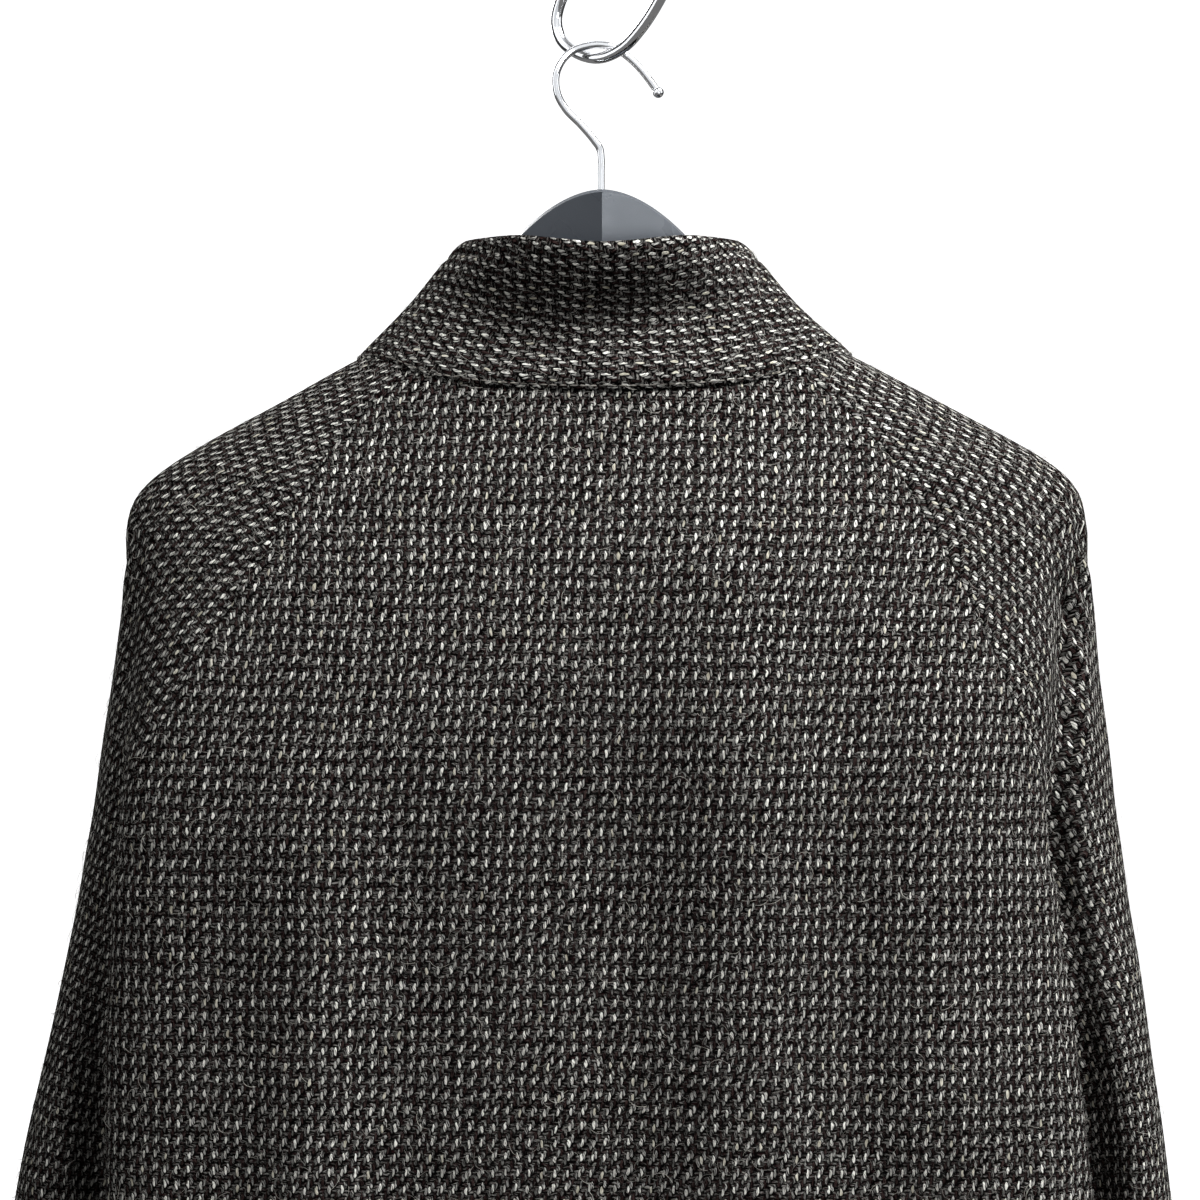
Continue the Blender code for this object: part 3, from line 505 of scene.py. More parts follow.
def yarn_float_group():
    """The floats of one set of yarns in a twill, in millimetres: each yarn lies on top for a short way,
    and each next yarn does so a step further along.

    Height is the float's rounded face, Kind counts the yarns, Chance is a number of each float's own,
    and X and Y are places across and along it.
    """
    tree, given, out = new_group(
        "Yarn float",
        (("U", 0), ("V", 0), ("Pitch U", 1.4), ("Pitch V", 7), ("Start V", 0), ("Half Width", 0.7),
         ("Half Length", 2), ("Lean", 0), ("Stray", 0.16)),
        [(name, "NodeSocketFloat") for name in ("Height", "Kind", "Chance", "Second Chance", "X", "Y")])
    across = calc(tree, "DIVIDE", given["U"], given["Pitch U"])
    column = calc(tree, "FLOOR", across)
    up = calc(tree, "ADD", calc(tree, "DIVIDE", given["V"], given["Pitch V"]), given["Start V"])
    up = calc(tree, "MULTIPLY_ADD", column, -1 / TWILL_YARNS, up)
    row = calc(tree, "FLOOR", up)
    cell = put(tree, "ShaderNodeCombineXYZ", (column, row, given["Start V"])).outputs[0]
    random = put(tree, "ShaderNodeTexWhiteNoise", (cell,), noise_dimensions="3D")
    chance = put(tree, "ShaderNodeSeparateColor", (random.outputs["Color"],)).outputs
    x = calc(tree, "SUBTRACT", calc(tree, "SUBTRACT", across, column), 0.5)
    y = calc(tree, "SUBTRACT", calc(tree, "SUBTRACT", up, row), 0.5)
    y = calc(tree, "MULTIPLY_ADD", calc(tree, "SUBTRACT", chance[1], 0.5), given["Stray"], y)
    x, y = calc(tree, "MULTIPLY", x, given["Pitch U"]), calc(tree, "MULTIPLY", y, given["Pitch V"])
    lean = calc(tree, "MULTIPLY_ADD", calc(tree, "SUBTRACT", chance[0], 0.5), 0.12, given["Lean"])
    x = calc(tree, "SUBTRACT", x, calc(tree, "MULTIPLY", lean, y))
    wide = calc(tree, "DIVIDE", x, given["Half Width"])
    long = calc(tree, "DIVIDE", y, given["Half Length"])
    reach = calc(tree, "ADD", calc(tree, "MULTIPLY", wide, wide),
                 calc(tree, "POWER", calc(tree, "ABSOLUTE", long), 2.5))
    height = calc(tree, "SQRT", calc(tree, "MAXIMUM", calc(tree, "SUBTRACT", 1.0, reach), 0.0))
    for name, value in (("Height", height), ("Kind", calc(tree, "FLOORED_MODULO", column, TWILL_YARNS)),
                        ("Chance", chance[2]), ("Second Chance", chance[1]), ("X", x), ("Y", y)):
        tree.links.new(value, out[name])
    return tree


WARP_YARNS = (          # the dark and the light shade of each warp yarn in turn, the cream one first
    ((.10, .094, .085), (1.0, .99, .93)),
    ((.012, .0115, .011), (.62, .61, .58)),
    ((.003, .0014, .0014), (.055, .033, .031)),
    ((.004, .0036, .0036), (.34, .335, .315)),
)
AGED_CREAM = (.50, .45, .30, 1)
WEFT_DARK, WEFT_LIGHT = (.0015, .0011, .0011, 1), (.34, .33, .31, 1)
WEFT_WINE = (.032, .010, .011, 1)
# painted shade: the dips between the yarn floats, and each float's edges, fade to this near-black for the
# shadow the yarns cast on each other, over yarns that are near-black themselves
SHADE_BETWEEN_YARNS = (.0012, .001, .001, 1)
LYING_HAIR = (.30, .29, .275, 1)
WARP_PITCH = 1.40       # from one warp yarn to the next
WARP_REPEAT = 7.05      # from one float of a warp yarn to its next
WARP_LEAN = -0.066      # sideways for each millimetre along it
WEFT_LEVEL = 0.8        # the share of the warp floats' height that the weft's reach


def yarn_colour(tree, kind, colours):
    """One colour for each kind of yarn."""
    ramp = put(tree, "ShaderNodeValToRGB", (calc(tree, "MULTIPLY_ADD", kind, 1 / len(colours), 0.05),))
    ramp.color_ramp.interpolation = "CONSTANT"
    while len(ramp.color_ramp.elements) < len(colours):
        ramp.color_ramp.elements.new(0.5)
    for i, colour in enumerate(colours):
        ramp.color_ramp.elements[i].position = i / len(colours)
        ramp.color_ramp.elements[i].color = (*colour, 1)
    return ramp.outputs[0]


def tweed_group(yarn_float):
    """The tweed: a twill of cream, grey and black warp and near-black weft, with loose fibres over it."""
    tree, given, out = new_group(
        "Tweed", (("Warp Pitch", WARP_PITCH), ("Warp Repeat", WARP_REPEAT)),
        (("Color", "NodeSocketColor"), ("Height", "NodeSocketFloat"), ("Roughness", "NodeSocketFloat")))
    place = cut_place(tree)
    for scale, amount in ((0.05, 2.2), (0.45, 0.8)):    # the yarns wander, widely and closely
        drift = put(tree, "ShaderNodeTexNoise", {"Vector": place, "Scale": scale, "Detail": 0.0},
                    noise_dimensions="2D").outputs["Color"]
        centred = put(tree, "ShaderNodeVectorMath", (drift, (0.5, 0.5, 0.5)), operation="SUBTRACT")
        place = put(tree, "ShaderNodeVectorMath", (centred.outputs[0], (amount, amount, 0), place),
                    operation="MULTIPLY_ADD").outputs[0]
    axes = put(tree, "ShaderNodeSeparateXYZ", (place,)).outputs
    v = axes[1]
    u = calc(tree, "MULTIPLY_ADD", v, WARP_LEAN, axes[0])
    warp = put(tree, "ShaderNodeGroup", {
        "U": u, "V": v, "Pitch U": given["Warp Pitch"], "Pitch V": given["Warp Repeat"], "Start V": 0.0,
        "Half Width": 0.70, "Half Length": 2.0, "Lean": -0.02}, node_tree=yarn_float).outputs
    weft = put(tree, "ShaderNodeGroup", {
        "U": v, "V": u, "Pitch U": calc(tree, "DIVIDE", given["Warp Repeat"], TWILL_YARNS),
        "Pitch V": calc(tree, "MULTIPLY", given["Warp Pitch"], TWILL_YARNS), "Start V": 0.125,
        "Half Width": 0.72, "Half Length": 1.9, "Lean": 0.10}, node_tree=yarn_float).outputs
    weft_height = calc(tree, "MULTIPLY", weft["Height"], WEFT_LEVEL)
    on_top = calc(tree, "GREATER_THAN", warp["Height"], weft_height)
    x, y, own = (put(tree, "ShaderNodeMix", {0: on_top, 2: weft[name], 3: warp[name]}).outputs[0]
                 for name in ("X", "Y", "Chance"))
    twist = calc(tree, "MULTIPLY", calc(tree, "MULTIPLY_ADD", y, 0.28, x), 3.4)
    strand = put(tree, "ShaderNodeCombineXYZ", (twist, calc(tree, "MULTIPLY", y, 0.45),
                                                calc(tree, "MULTIPLY", own, 60.0))).outputs[0]
    fibre = put(tree, "ShaderNodeTexNoise", {"Vector": strand, "Scale": 1.0, "Detail": 1.0}).outputs[0]
    streak = between(tree, fibre, 0.44, 0.60)
    fuzz = put(tree, "ShaderNodeTexNoise", {"Vector": place, "Scale": 0.55, "Detail": 1.0},
               noise_dimensions="2D").outputs
    tints = put(tree, "ShaderNodeSeparateColor", (fuzz["Color"],)).outputs

    warp_dark, warp_light = (yarn_colour(tree, warp["Kind"], shades) for shades in zip(*WARP_YARNS))
    cream = calc(tree, "COMPARE", warp["Kind"], 0.0, 0.5)
    dim = calc(tree, "MINIMUM", calc(tree, "MULTIPLY_ADD", warp["Chance"], 0.85, 0.45), 1.0)
    full = between(tree, fibre, 0.33, 0.56)
    light = put(tree, "ShaderNodeMix", {0: cream, 2: streak, 3: full}).outputs[0]
    warp_colour = blend(tree, calc(tree, "MULTIPLY", light, dim), warp_dark, warp_light)
    aged = calc(tree, "MULTIPLY", cream, calc(tree, "GREATER_THAN", warp["Second Chance"], 0.9))
    warp_colour = blend(tree, calc(tree, "MULTIPLY", aged, 0.4), warp_colour, AGED_CREAM)
    weft_shade = calc(tree, "MULTIPLY", calc(tree, "POWER", streak, 2.0),
                      calc(tree, "MULTIPLY_ADD", weft["Chance"], 0.8, 0.25))
    weft_colour = blend(tree, weft_shade, WEFT_DARK, WEFT_LIGHT)
    wine = between(tree, tints[1], 0.50, 0.62)
    weft_colour = blend(tree, calc(tree, "MULTIPLY", wine, 0.5), weft_colour, WEFT_WINE)
    # Painted shade: the weft floats darken to near-black towards their edges and in the dips between floats,
    # and the warp floats' edges fade into that
    colour = blend(tree, between(tree, weft["Height"], 0.45, 0.85), SHADE_BETWEEN_YARNS, weft_colour)
    shows = calc(tree, "MULTIPLY", between(tree, warp["Height"], 0.3, 0.66), on_top)
    colour = blend(tree, shows, colour, warp_colour)

    hair = calc(tree, "ABSOLUTE", calc(tree, "SUBTRACT", tints[0], 0.5))
    hair = calc(tree, "MULTIPLY", between(tree, hair, 0.012, 0.002), between(tree, tints[2], 0.5, 0.6))
    colour = blend(tree, calc(tree, "MULTIPLY", hair, 0.55), colour, LYING_HAIR)
    height = calc(tree, "MAXIMUM", weft_height, warp["Height"])
    height = calc(tree, "MULTIPLY_ADD", streak, 0.22, height)
    height = calc(tree, "MULTIPLY_ADD", hair, 0.3, height)
    tree.links.new(colour, out["Color"])
    tree.links.new(height, out["Height"])
    tree.links.new(calc(tree, "MULTIPLY_ADD", streak, -0.15, 0.95), out["Roughness"])
    return tree


def new_material(name, **values):
    """A material with its Principled shader's plain values set."""
    made = bpy.data.materials.new(name)
    made.use_nodes = True
    shader = made.node_tree.nodes["Principled BSDF"]
    for label, value in values.items():
        shader.inputs[label.replace("_", " ")].default_value = value
    return made, made.node_tree, shader


YARN_FLOAT = yarn_float_group()
TWEED = tweed_group(YARN_FLOAT)
tweed, tree, shader = new_material("tweed", Specular_IOR_Level=0.0)
weave = put(tree, "ShaderNodeGroup", node_tree=TWEED)
bump = put(tree, "ShaderNodeBump", {"Strength": 1.0, "Distance": 0.0003, "Height": weave.outputs["Height"]})
tree.links.new(weave.outputs["Color"], shader.inputs["Base Color"])
tree.links.new(weave.outputs["Roughness"], shader.inputs["Roughness"])
tree.links.new(bump.outputs[0], shader.inputs["Normal"])



def back_rows(side):
    """One side's rows of the back, from the collar seam to the hem band."""
    lines = [back_line(level, side) for level in YOKE_LEVELS]
    lines += [body_line(drop, side, (0, UNDERARM_TURN)) for drop in BODY_DROPS]
    return [spread(line, BACK_COLUMNS, (0, SEAM_GAP / 2), (False, True)) for line in lines]


DOWN = np.concatenate((YOKE_LEVELS * UNDERARM_DROP, BODY_DROPS))
grid = refine(DOWN, across_middle(back_rows))
flat, area = flatten(grid, grid.shape[1] // 2)
back = add_cloth("back_cloth", sewn(grid, 1), flat, tweed)


FIBRE_SHAPES = (        # start, middle and end of each bent hair, in shares of its length
    ((-0.5, 0, -0.05), (0, 0.55, 0.35), (0.5, 0.05, -0.02)),
    ((-0.5, 0, -0.04), (0.1, -0.4, 0.22), (0.45, 0.2, 0.12)),
    ((-0.4, -0.1, -0.03), (-0.05, 0.3, 0.5), (0.3, 0.35, 0.02)),
)


def new_tree(name, inputs):
    """An empty Geometry Nodes tree that takes a shape and named sizes and gives a shape."""
    tree = bpy.data.node_groups.new(name, "GeometryNodeTree")
    tree.interface.new_socket("Shape", in_out="INPUT", socket_type="NodeSocketGeometry")
    for label, value in inputs:
        kind = "NodeSocketInt" if isinstance(value, int) else "NodeSocketFloat"
        tree.interface.new_socket(label, in_out="INPUT", socket_type=kind).default_value = value
    tree.interface.new_socket("Shape", in_out="OUTPUT", socket_type="NodeSocketGeometry")
    return tree, tree.nodes.new("NodeGroupInput").outputs, tree.nodes.new("NodeGroupOutput").inputs


def end_tree(tree, copies, material, out):
    """Ends a tree: its copies are made real and get their material."""
    whole = put(tree, "GeometryNodeRealizeInstances", (copies,)).outputs[0]
    dressed = put(tree, "GeometryNodeSetMaterial", {"Geometry": whole, "Material": material})
    tree.links.new(dressed.outputs[0], out["Shape"])


def fibre_tree(material):
    """Loose wool: short bent hairs scattered over a cloth's outer face, each lying its own way."""
    tree, given, out = new_tree(
        "Loose fibres", (("Density", 8000.0), ("Length", 0.006), ("Thickness", 0.009), ("Seed", 1)))
    outer = put(tree, "GeometryNodeInputNamedAttribute", {"Name": "outer"}, data_type="BOOLEAN").outputs[0]
    points = put(tree, "GeometryNodeDistributePointsOnFaces", {
        "Mesh": given["Shape"], "Selection": outer, "Density": given["Density"],
        "Seed": given["Seed"]}).outputs
    profile = put(tree, "GeometryNodeCurvePrimitiveCircle", {
        "Resolution": 3, "Radius": given["Thickness"]}).outputs[0]
    kinds = put(tree, "GeometryNodeJoinGeometry")
    for start, middle, end in FIBRE_SHAPES:
        hair = put(tree, "GeometryNodeCurveQuadraticBezier", {
            "Resolution": 5, "Start": start, "Middle": middle, "End": end}).outputs[0]
        tube = put(tree, "GeometryNodeCurveToMesh", {"Curve": hair, "Profile Curve": profile}).outputs[0]
        tree.links.new(put(tree, "GeometryNodeGeometryToInstance", (tube,)).outputs[0], kinds.inputs[0])
    turn = put(tree, "FunctionNodeRandomValue", {
        0: (-0.15, -0.15, 0), 1: (0.15, 0.15, 6.28), "Seed": given["Seed"]},
        data_type="FLOAT_VECTOR").outputs[0]
    turn = put(tree, "FunctionNodeEulerToRotation", (turn,)).outputs[0]
    turned = put(tree, "FunctionNodeRotateRotation", {
        "Rotation": points["Rotation"], "Rotate By": turn}, rotation_space="LOCAL").outputs[0]
    size = put(tree, "FunctionNodeRandomValue", {2: 0.5, 3: 1.7, "Seed": given["Seed"]}).outputs[1]
    laid = put(tree, "GeometryNodeInstanceOnPoints", {
        "Points": points["Points"], "Instance": kinds.outputs[0], "Pick Instance": True, "Rotation": turned,
        "Scale": calc(tree, "MULTIPLY", size, given["Length"])}).outputs[0]
    end_tree(tree, laid, material, out)
    return tree


def grown(name, mesh, tree, **sizes):
    """A plain mesh of what a tree makes on a shape, with its named inputs set."""
    made = linked(name, mesh)
    change = made.modifiers.new("grow", "NODES")
    change.node_group = tree
    for socket in tree.interface.items_tree:
        if socket.in_out == "INPUT" and socket.name in sizes:
            change[socket.identifier] = sizes[socket.name]
    shape = bpy.data.meshes.new_from_object(made.evaluated_get(bpy.context.evaluated_depsgraph_get()))
    made.modifiers.clear()
    made.data = shape
    shape.name = name
    shape.shade_smooth()
    shape.set_sharp_from_angle(angle=math.radians(50))
    return made


def mottle(tree, scale, low, high):
    """Soft spots over a piece, as a value between low and high."""
    place = put(tree, "ShaderNodeTexCoord").outputs["Object"]
    spots = put(tree, "ShaderNodeTexNoise", {"Vector": place, "Scale": scale, "Detail": 2.0}).outputs[0]
    return between(tree, spots, 0.35, 0.65, low, high)


wool, tree, shader = new_material("loose_wool", Roughness=0.8, Specular_IOR_Level=0.2)
tree.links.new(blend(tree, mottle(tree, 90, 0, 1), (.62, .60, .54, 1), (.24, .22, .20, 1)),
               shader.inputs["Base Color"])
LOOSE_FIBRES = fibre_tree(wool)


def hang(piece, node, others):
    """The piece and the others on it ride on the jacket, and the piece stands for its CAD node."""
    for made in (piece, *others):
        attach(made, "jacket")
    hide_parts(node)


def hang_tweed(piece, node, flat, area, seed, *others):
    """A hung piece of tweed with its loose fibres."""
    fibres = grown(node + "_fibres", piece.data, LOOSE_FIBRES, Seed=seed)
    hang(piece, node, [fibres, *others])


hang_tweed(back, "back", flat, area, 21)


# The two fronts
# Panels of the same tweed from the raglan seams to the zip, which holds their straight edges.
# They are not seen in the photograph and are finished plainly, without pockets.
NECK_FRONT_DROP = 55.0
FRONT_NECK_CURVE = 1.5
ZIP_HALF_GAP = 6.0
FRONT_COLUMNS = 42


def front_line(level, side):
    """A row of a front, from the raglan seam to the middle."""
    drop, turn = seam_place(FRONT_SEAM, level)
    middle_drop = NECK_FRONT_DROP + (UNDERARM_DROP - NECK_FRONT_DROP) * level
    share = np.linspace(0, 1, DENSE)
    rise = (1 - share) ** FRONT_NECK_CURVE
    return body_point(turn + share * (2 - turn), middle_drop + (drop - middle_drop) * rise, side)


for side, name in ((1, "front_left"), (-1, "front_right")):
    lines = [front_line(level, side) for level in YOKE_LEVELS]
    lines += [body_line(drop, side, (UNDERARM_TURN, 2)) for drop in BODY_DROPS]
    rows = [spread(line, FRONT_COLUMNS, (SEAM_GAP / 2, ZIP_HALF_GAP)) for line in lines]
    grid = refine(DOWN, ordered(rows, side))
    flat, area = flatten(grid, -1 if side > 0 else 0)
    piece = add_cloth(name + "_cloth", sewn(grid, 3 + side), flat, tweed)
    hang_tweed(piece, name, flat, area, 23 + side)


# The sleeves
# Raglan sleeves of one piece each, from the neckline over the hanger's shoulder to the cuff.
# Their grain runs down the arm, so the flecks lie along the shoulder and turn down at its end.
NECK_SIDE_DROP = -13.0
SLEEVE_DROP = 592.0
SLEEVE_MIDDLE = 90.0    # degrees round the oval where its outer edge lies
SEAM_REACH = 0.6        # share of each half of the oval that the armhole draws out
SEAM_HUG = 0.12         # share of the oval, from its seam, over which the sleeve leaves the body
SLEEVE_LAPS = (0.0, 0.25, 0.5, 0.9, 1.0)    # shares of a row at seam, crease, outer edge, crease, seam
SLEEVE_LEAVES = (35.0, 115.0)   # drops between which the sleeve leaves the body's shape behind
FRONT_LEAVES = 135.0    # and the drop by which it has left it in front
SLEEVE_CLEARANCE = 4.0
GUSSET_LENGTH = 70.0    # below the underarm the armhole's pull fades over this length
FRONT_CREASE = 0.15
CREASE_ROUNDS = 10
SLEEVE_COLUMNS = 80     # behind and in front of the outer edge
SLEEVE_DROPS = np.array((240, 258, 285, 320, 365, 415, 470, 520, 560, SLEEVE_DROP))
# The flattened tube: x of its outer edge, y of its middle, half its length and width in plan, and
# how far its front is turned inward, in degrees.
SLEEVE = table(("drop", "outer_x", "centre_y", "half_long", "half_short", "turn"), (
    (40, 205, -14, 36, 30, 8),
    (73, 222, -24, 46, 32, 9),
    (101, 227, -32, 53, 35, 10),
    (148, 233, -44, 63, 39, 12),
    (190, 240, -54, 70, 41, 14),
    (228, 250, -61, 75, 41, 16),
    (290, 262, -65, 80, 41, 22),
    (383, 281, -62, 76, 40, 28),
    (480, 293, -60, 66, 37, 31),
    (560, 297, -62, 56, 33, 32),
    (592, 294, -63, 46, 27, 32),
    (650, 291, -64, 43, 25, 32),
))
# Where the oval starts behind and ends in front, in degrees round it
OVAL_ENDS = table(("drop", "back", "front"), (
    (-13, 150, -10), (60, 160, -20), (107, 172, -45), (168, 190, -85), (UNDERARM_DROP, 217, -143)))
# The crease between the back and the hanging sleeve, as a turn round the body
CREASE = table(("drop", "turn"), (
    (-20, 0.70), (33, 0.78), (60, 0.86), (120, 0.99), (170, 1.05), (UNDERARM_DROP, UNDERARM_TURN)))


def divide(line, columns):
    """Evenly spaced points along a line."""
    return spread(line, columns, edges=(False, False))


def halved(line, columns, trim=0.0, edges=False):
    """A sleeve row divided evenly behind and in front of its outer edge."""
    middle = len(line) // 2
    first = spread(line[:middle + 1], columns, (trim, 0), (edges, False))
    second = spread(line[middle:], columns, (0, trim), (False, edges))
    return np.vstack((first, second[1:]))


def tube_point(share, drop, side, ends_at=UNDERARM_DROP):
    """The sleeve's oval: share 0.5 is its outer edge, and its ends are those of a row at ends_at."""
    lean = np.radians(read(SLEEVE, "turn", drop))
    long, short = read(SLEEVE, "half_long", drop), read(SLEEVE, "half_short", drop)
    centre_x = read(SLEEVE, "outer_x", drop) - np.hypot(long * np.sin(lean), short * np.cos(lean))
    ends = (read(OVAL_ENDS, "back", ends_at), SLEEVE_MIDDLE, read(OVAL_ENDS, "front", ends_at))
    angle = np.radians(np.interp(share, (0, 0.5, 1), ends))
    forward, outward = long * np.cos(angle), short * np.sin(angle)
    x = centre_x - forward * np.sin(lean) + outward * np.cos(lean)
    y = read(SLEEVE, "centre_y", drop) - forward * np.cos(lean) - outward * np.sin(lean)
    return np.stack((side * x, y, -drop + 0 * share), axis=-1)


def pulled_tube(share, drop, start, end, ends_at=UNDERARM_DROP):
    """The sleeve's oval with its two ends drawn out to the armhole."""
    side = np.sign(start[0])
    ring = tube_point(share, drop, side, ends_at)
    ends = tube_point(np.array((0.0, 1.0)), np.array((drop[0], drop[-1])), side, ends_at)
    near_start = (1 - ease(share, 0, SEAM_REACH / 2))[:, None]
    near_end = ease(share, 1 - SEAM_REACH / 2, 1)[:, None]
    return ring + near_start * (start - ends[0]) + near_end * (end - ends[1])


def clear_of_body(line, drop, margin):
    """Sleeve points moved outward, where needed, to lie a margin outside the body."""
    y = line[:, 1] - read(BODY, "side_y", drop)
    side_y, end_y, power = body_quarter(y > 0, drop)
    depth = np.abs(end_y - side_y) + margin
    width = read(BODY, "half_width", drop) + margin
    reach = ((np.abs(line[:, 0]) / width) ** power + (np.abs(y) / depth) ** power) ** (1 / power)
    push = np.maximum(1 / reach, 1) - 1
    return line + np.stack((line[:, 0] * push, y * push, 0 * y), axis=-1)


def soften(line):
    """A line with its corners rounded a little."""
    line = line.copy()
    for _ in range(CREASE_ROUNDS):
        line[1:-1] = (line[:-2] + 2 * line[1:-1] + line[2:]) / 4
    return line


def away_from_seam(share):
    """0 at the two ends of a sleeve row, rising to 1 along it."""
    return ease(np.minimum(share, 1 - share), 0, SEAM_HUG)


def sleeve_line(level, side):
    """A row of the sleeve above the underarm, from the back seam over the shoulder to the front."""
    back_drop, back_turn = seam_place(BACK_SEAM, level)
    front_drop, front_turn = seam_place(FRONT_SEAM, level)
    ridge_drop = NECK_SIDE_DROP + (UNDERARM_DROP - NECK_SIDE_DROP) * level
    crease_turn = max(read(CREASE, "turn", back_drop), back_turn)
    front_crease_turn = front_turn - FRONT_CREASE * (front_turn - UNDERARM_TURN)
    share = np.linspace(0, 1, 2 * DENSE + 1)
    arch = 4 * share * (1 - share) * (ridge_drop - (back_drop + front_drop) / 2)
    drop = back_drop + (front_drop - back_drop) * share + arch
    turn = np.interp(share, SLEEVE_LAPS, (back_turn, crease_turn, 1.0, front_crease_turn, front_turn))
    on_body = body_point(turn, drop, side)
    loose = (share >= SLEEVE_LAPS[1]) & (share <= SLEEVE_LAPS[3])
    round_tube = np.interp(share[loose], SLEEVE_LAPS[1:4], (0.0, 0.5, 1.0))
    tube = pulled_tube(round_tube, drop[loose], on_body[loose][0], on_body[loose][-1], ridge_drop)
    tube = clear_of_body(tube, drop[loose], SEAM_GAP + SLEEVE_CLEARANCE * away_from_seam(round_tube))
    left_by = SLEEVE_LEAVES[1] + (FRONT_LEAVES - SLEEVE_LEAVES[1]) * ease(share[loose], 0.5, 0.75)
    leaves = ease(ridge_drop, SLEEVE_LEAVES[0], left_by)[:, None]
    line = on_body.copy()
    line[loose] += leaves * (tube - on_body[loose])
    return soften(halved(line, DENSE))


def armpit(side):
    """The point just outside the side seam's top, where the sleeve's seam ends."""
    return body_point(UNDERARM_TURN, UNDERARM_DROP, side) + np.array((side * 2 * SEAM_GAP, 0, 0))


def sleeve_ring(drop, side):
    """A closed row of the sleeve from the underarm down."""
    share = np.linspace(0, 1, 2 * DENSE + 1)
    drops = np.full(share.shape, drop)
    fade = 1 - ease(drop, UNDERARM_DROP, UNDERARM_DROP + GUSSET_LENGTH)
    start = tube_point(np.array((0.0,)), drops[:1], side)[0]
    meets = start + fade * (armpit(side) + (0, 0, UNDERARM_DROP - drop) - start)
    ring = pulled_tube(share, drops, meets, meets)
    margin = 2 * SEAM_GAP + SLEEVE_CLEARANCE * np.maximum(away_from_seam(share), 1 - fade)
    return halved(clear_of_body(ring, drops, margin), DENSE)


# The upright crease where the sleeve folds back behind the shoulder: its distance from the middle on
# each side, its depth there, the step down to the cloth outside it, and its outer wall's half width
SLEEVE_FOLD = table(
    ("drop", "left", "right", "left_depth", "right_depth", "left_step", "right_step", "width"), (
        (25, 225, 208, 0.0, 0.0, 0.0, 0.0, 5.0),
        (62, 223, 208, 0.0, 0.5, 0.0, 0.5, 5.0),
        (92, 221, 212, 0.0, 2.5, 0.0, 2.5, 5.0),
        (115, 221, 214, 0.0, 4.0, 0.0, 5.0, 6.0),
        (145, 222, 215, 1.0, 5.0, 0.5, 6.5, 8.0),
        (178, 226, 213, 4.0, 6.0, 1.0, 6.5, 9.5),
        (212, 229, 210, 7.0, 7.5, 2.0, 5.0, 11.0),
        (245, 232, 216, 9.0, 11.0, 1.0, 3.0, 12.0),
        (290, 235, 223, 11.0, 12.0, 0.0, 0.0, 12.0),
        (382, 237, 234, 12.0, 12.0, 0.0, 0.0, 12.0),
        (480, 241, 241, 8.0, 8.0, 0.0, 0.0, 12.0),
        (560, 243, 243, 0.0, 0.0, 0.0, 0.0, 12.0),
    ))
FOLD_INSIDE = 6.5       # half width of the crease's inner wall
FOLD_STEP = (-7, 2)     # the step lies between these distances from the crease
FOLD_FACES = (-0.5, 0.4)    # the crease sets in where the cloth turns from the front to the back


def folded(grid, name):
    """The sleeve's grid with its upright crease pressed in."""
    moved = grid.reshape(-1, 3).copy()
    drop = -moved[:, 2]
    beyond = np.abs(settle(moved)[:, 0]) - read(SLEEVE_FOLD, name, drop)
    width = np.where(beyond < 0, FOLD_INSIDE, read(SLEEVE_FOLD, "width", drop))
    amount = read(SLEEVE_FOLD, name + "_depth", drop) * np.exp(-(beyond / width) ** 2)
    amount = amount + read(SLEEVE_FOLD, name + "_step", drop) * ease(beyond, *FOLD_STEP)
    moved[:, 1] -= amount * ease(grid_normals(grid).reshape(-1, 3)[:, 1], *FOLD_FACES)
    return moved.reshape(grid.shape)


SLEEVE_DOWN = np.concatenate((YOKE_LEVELS * UNDERARM_DROP, SLEEVE_DROPS))
for side, name in ((1, "sleeve_left"), (-1, "sleeve_right")):
    rows = [halved(sleeve_line(level, side), SLEEVE_COLUMNS, SEAM_GAP / 2, True)
            for level in YOKE_LEVELS[:-1]]
    rows += [halved(sleeve_ring(drop, side), SLEEVE_COLUMNS, 0, True)
             for drop in (UNDERARM_DROP, *SLEEVE_DROPS)]
    grid = refine(SLEEVE_DOWN, ordered(rows, side))
    down = -grid[:, grid.shape[1] // 2, 2]
    closed_from = int(np.argmax(down > UNDERARM_DROP - 0.5))
    grid[closed_from:, -1] = grid[closed_from:, 0]
    shaped = folded(sewn(grid, 7 + side, closed_from), name.split("_")[1])
    flat, area = flatten(shaped, grid.shape[1] // 2, step=2)
    piece = add_cloth(name + "_cloth", shaped, flat, tweed, closed_from=closed_from)
    hang_tweed(piece, name, flat, area, 27 + side)


# The hem band and the cuffs
# Plain doubled bands of the tweed, 2.5 mm thick, sewn on below the body and the sleeves.
# The photograph ends above them, so they are finished plainly.
HEM_DROP = 660.0
CUFF_DROP = 650.0
BAND_CLOTH = 2.5
BAND_LIFT = 0.5         # the bands stand out by this much
HEM_COLUMNS = 92        # each side of the middle
CUFF_COLUMNS = 26       # behind and in front of the outer edge


def hem_rows(side):
    """One side's rows of the hem band, all alike."""
    row = spread(body_line(BODY_DROP, side, (0, 2)), HEM_COLUMNS, (0, ZIP_HALF_GAP), (False, True))
    return [row + (0, 0, BODY_DROP - drop) for drop in row_places(BODY_DROP + SEAM_GAP, HEM_DROP)]


grid = across_middle(hem_rows)
grid = grid + BAND_LIFT * grid_normals(grid)
flat, area = flatten(grid, grid.shape[1] // 2)
piece = add_cloth("hem_band_cloth", sewn(grid, 11, wave=0.4), flat, tweed, BAND_CLOTH)
hang_tweed(piece, "hem_band", flat, area, 31)

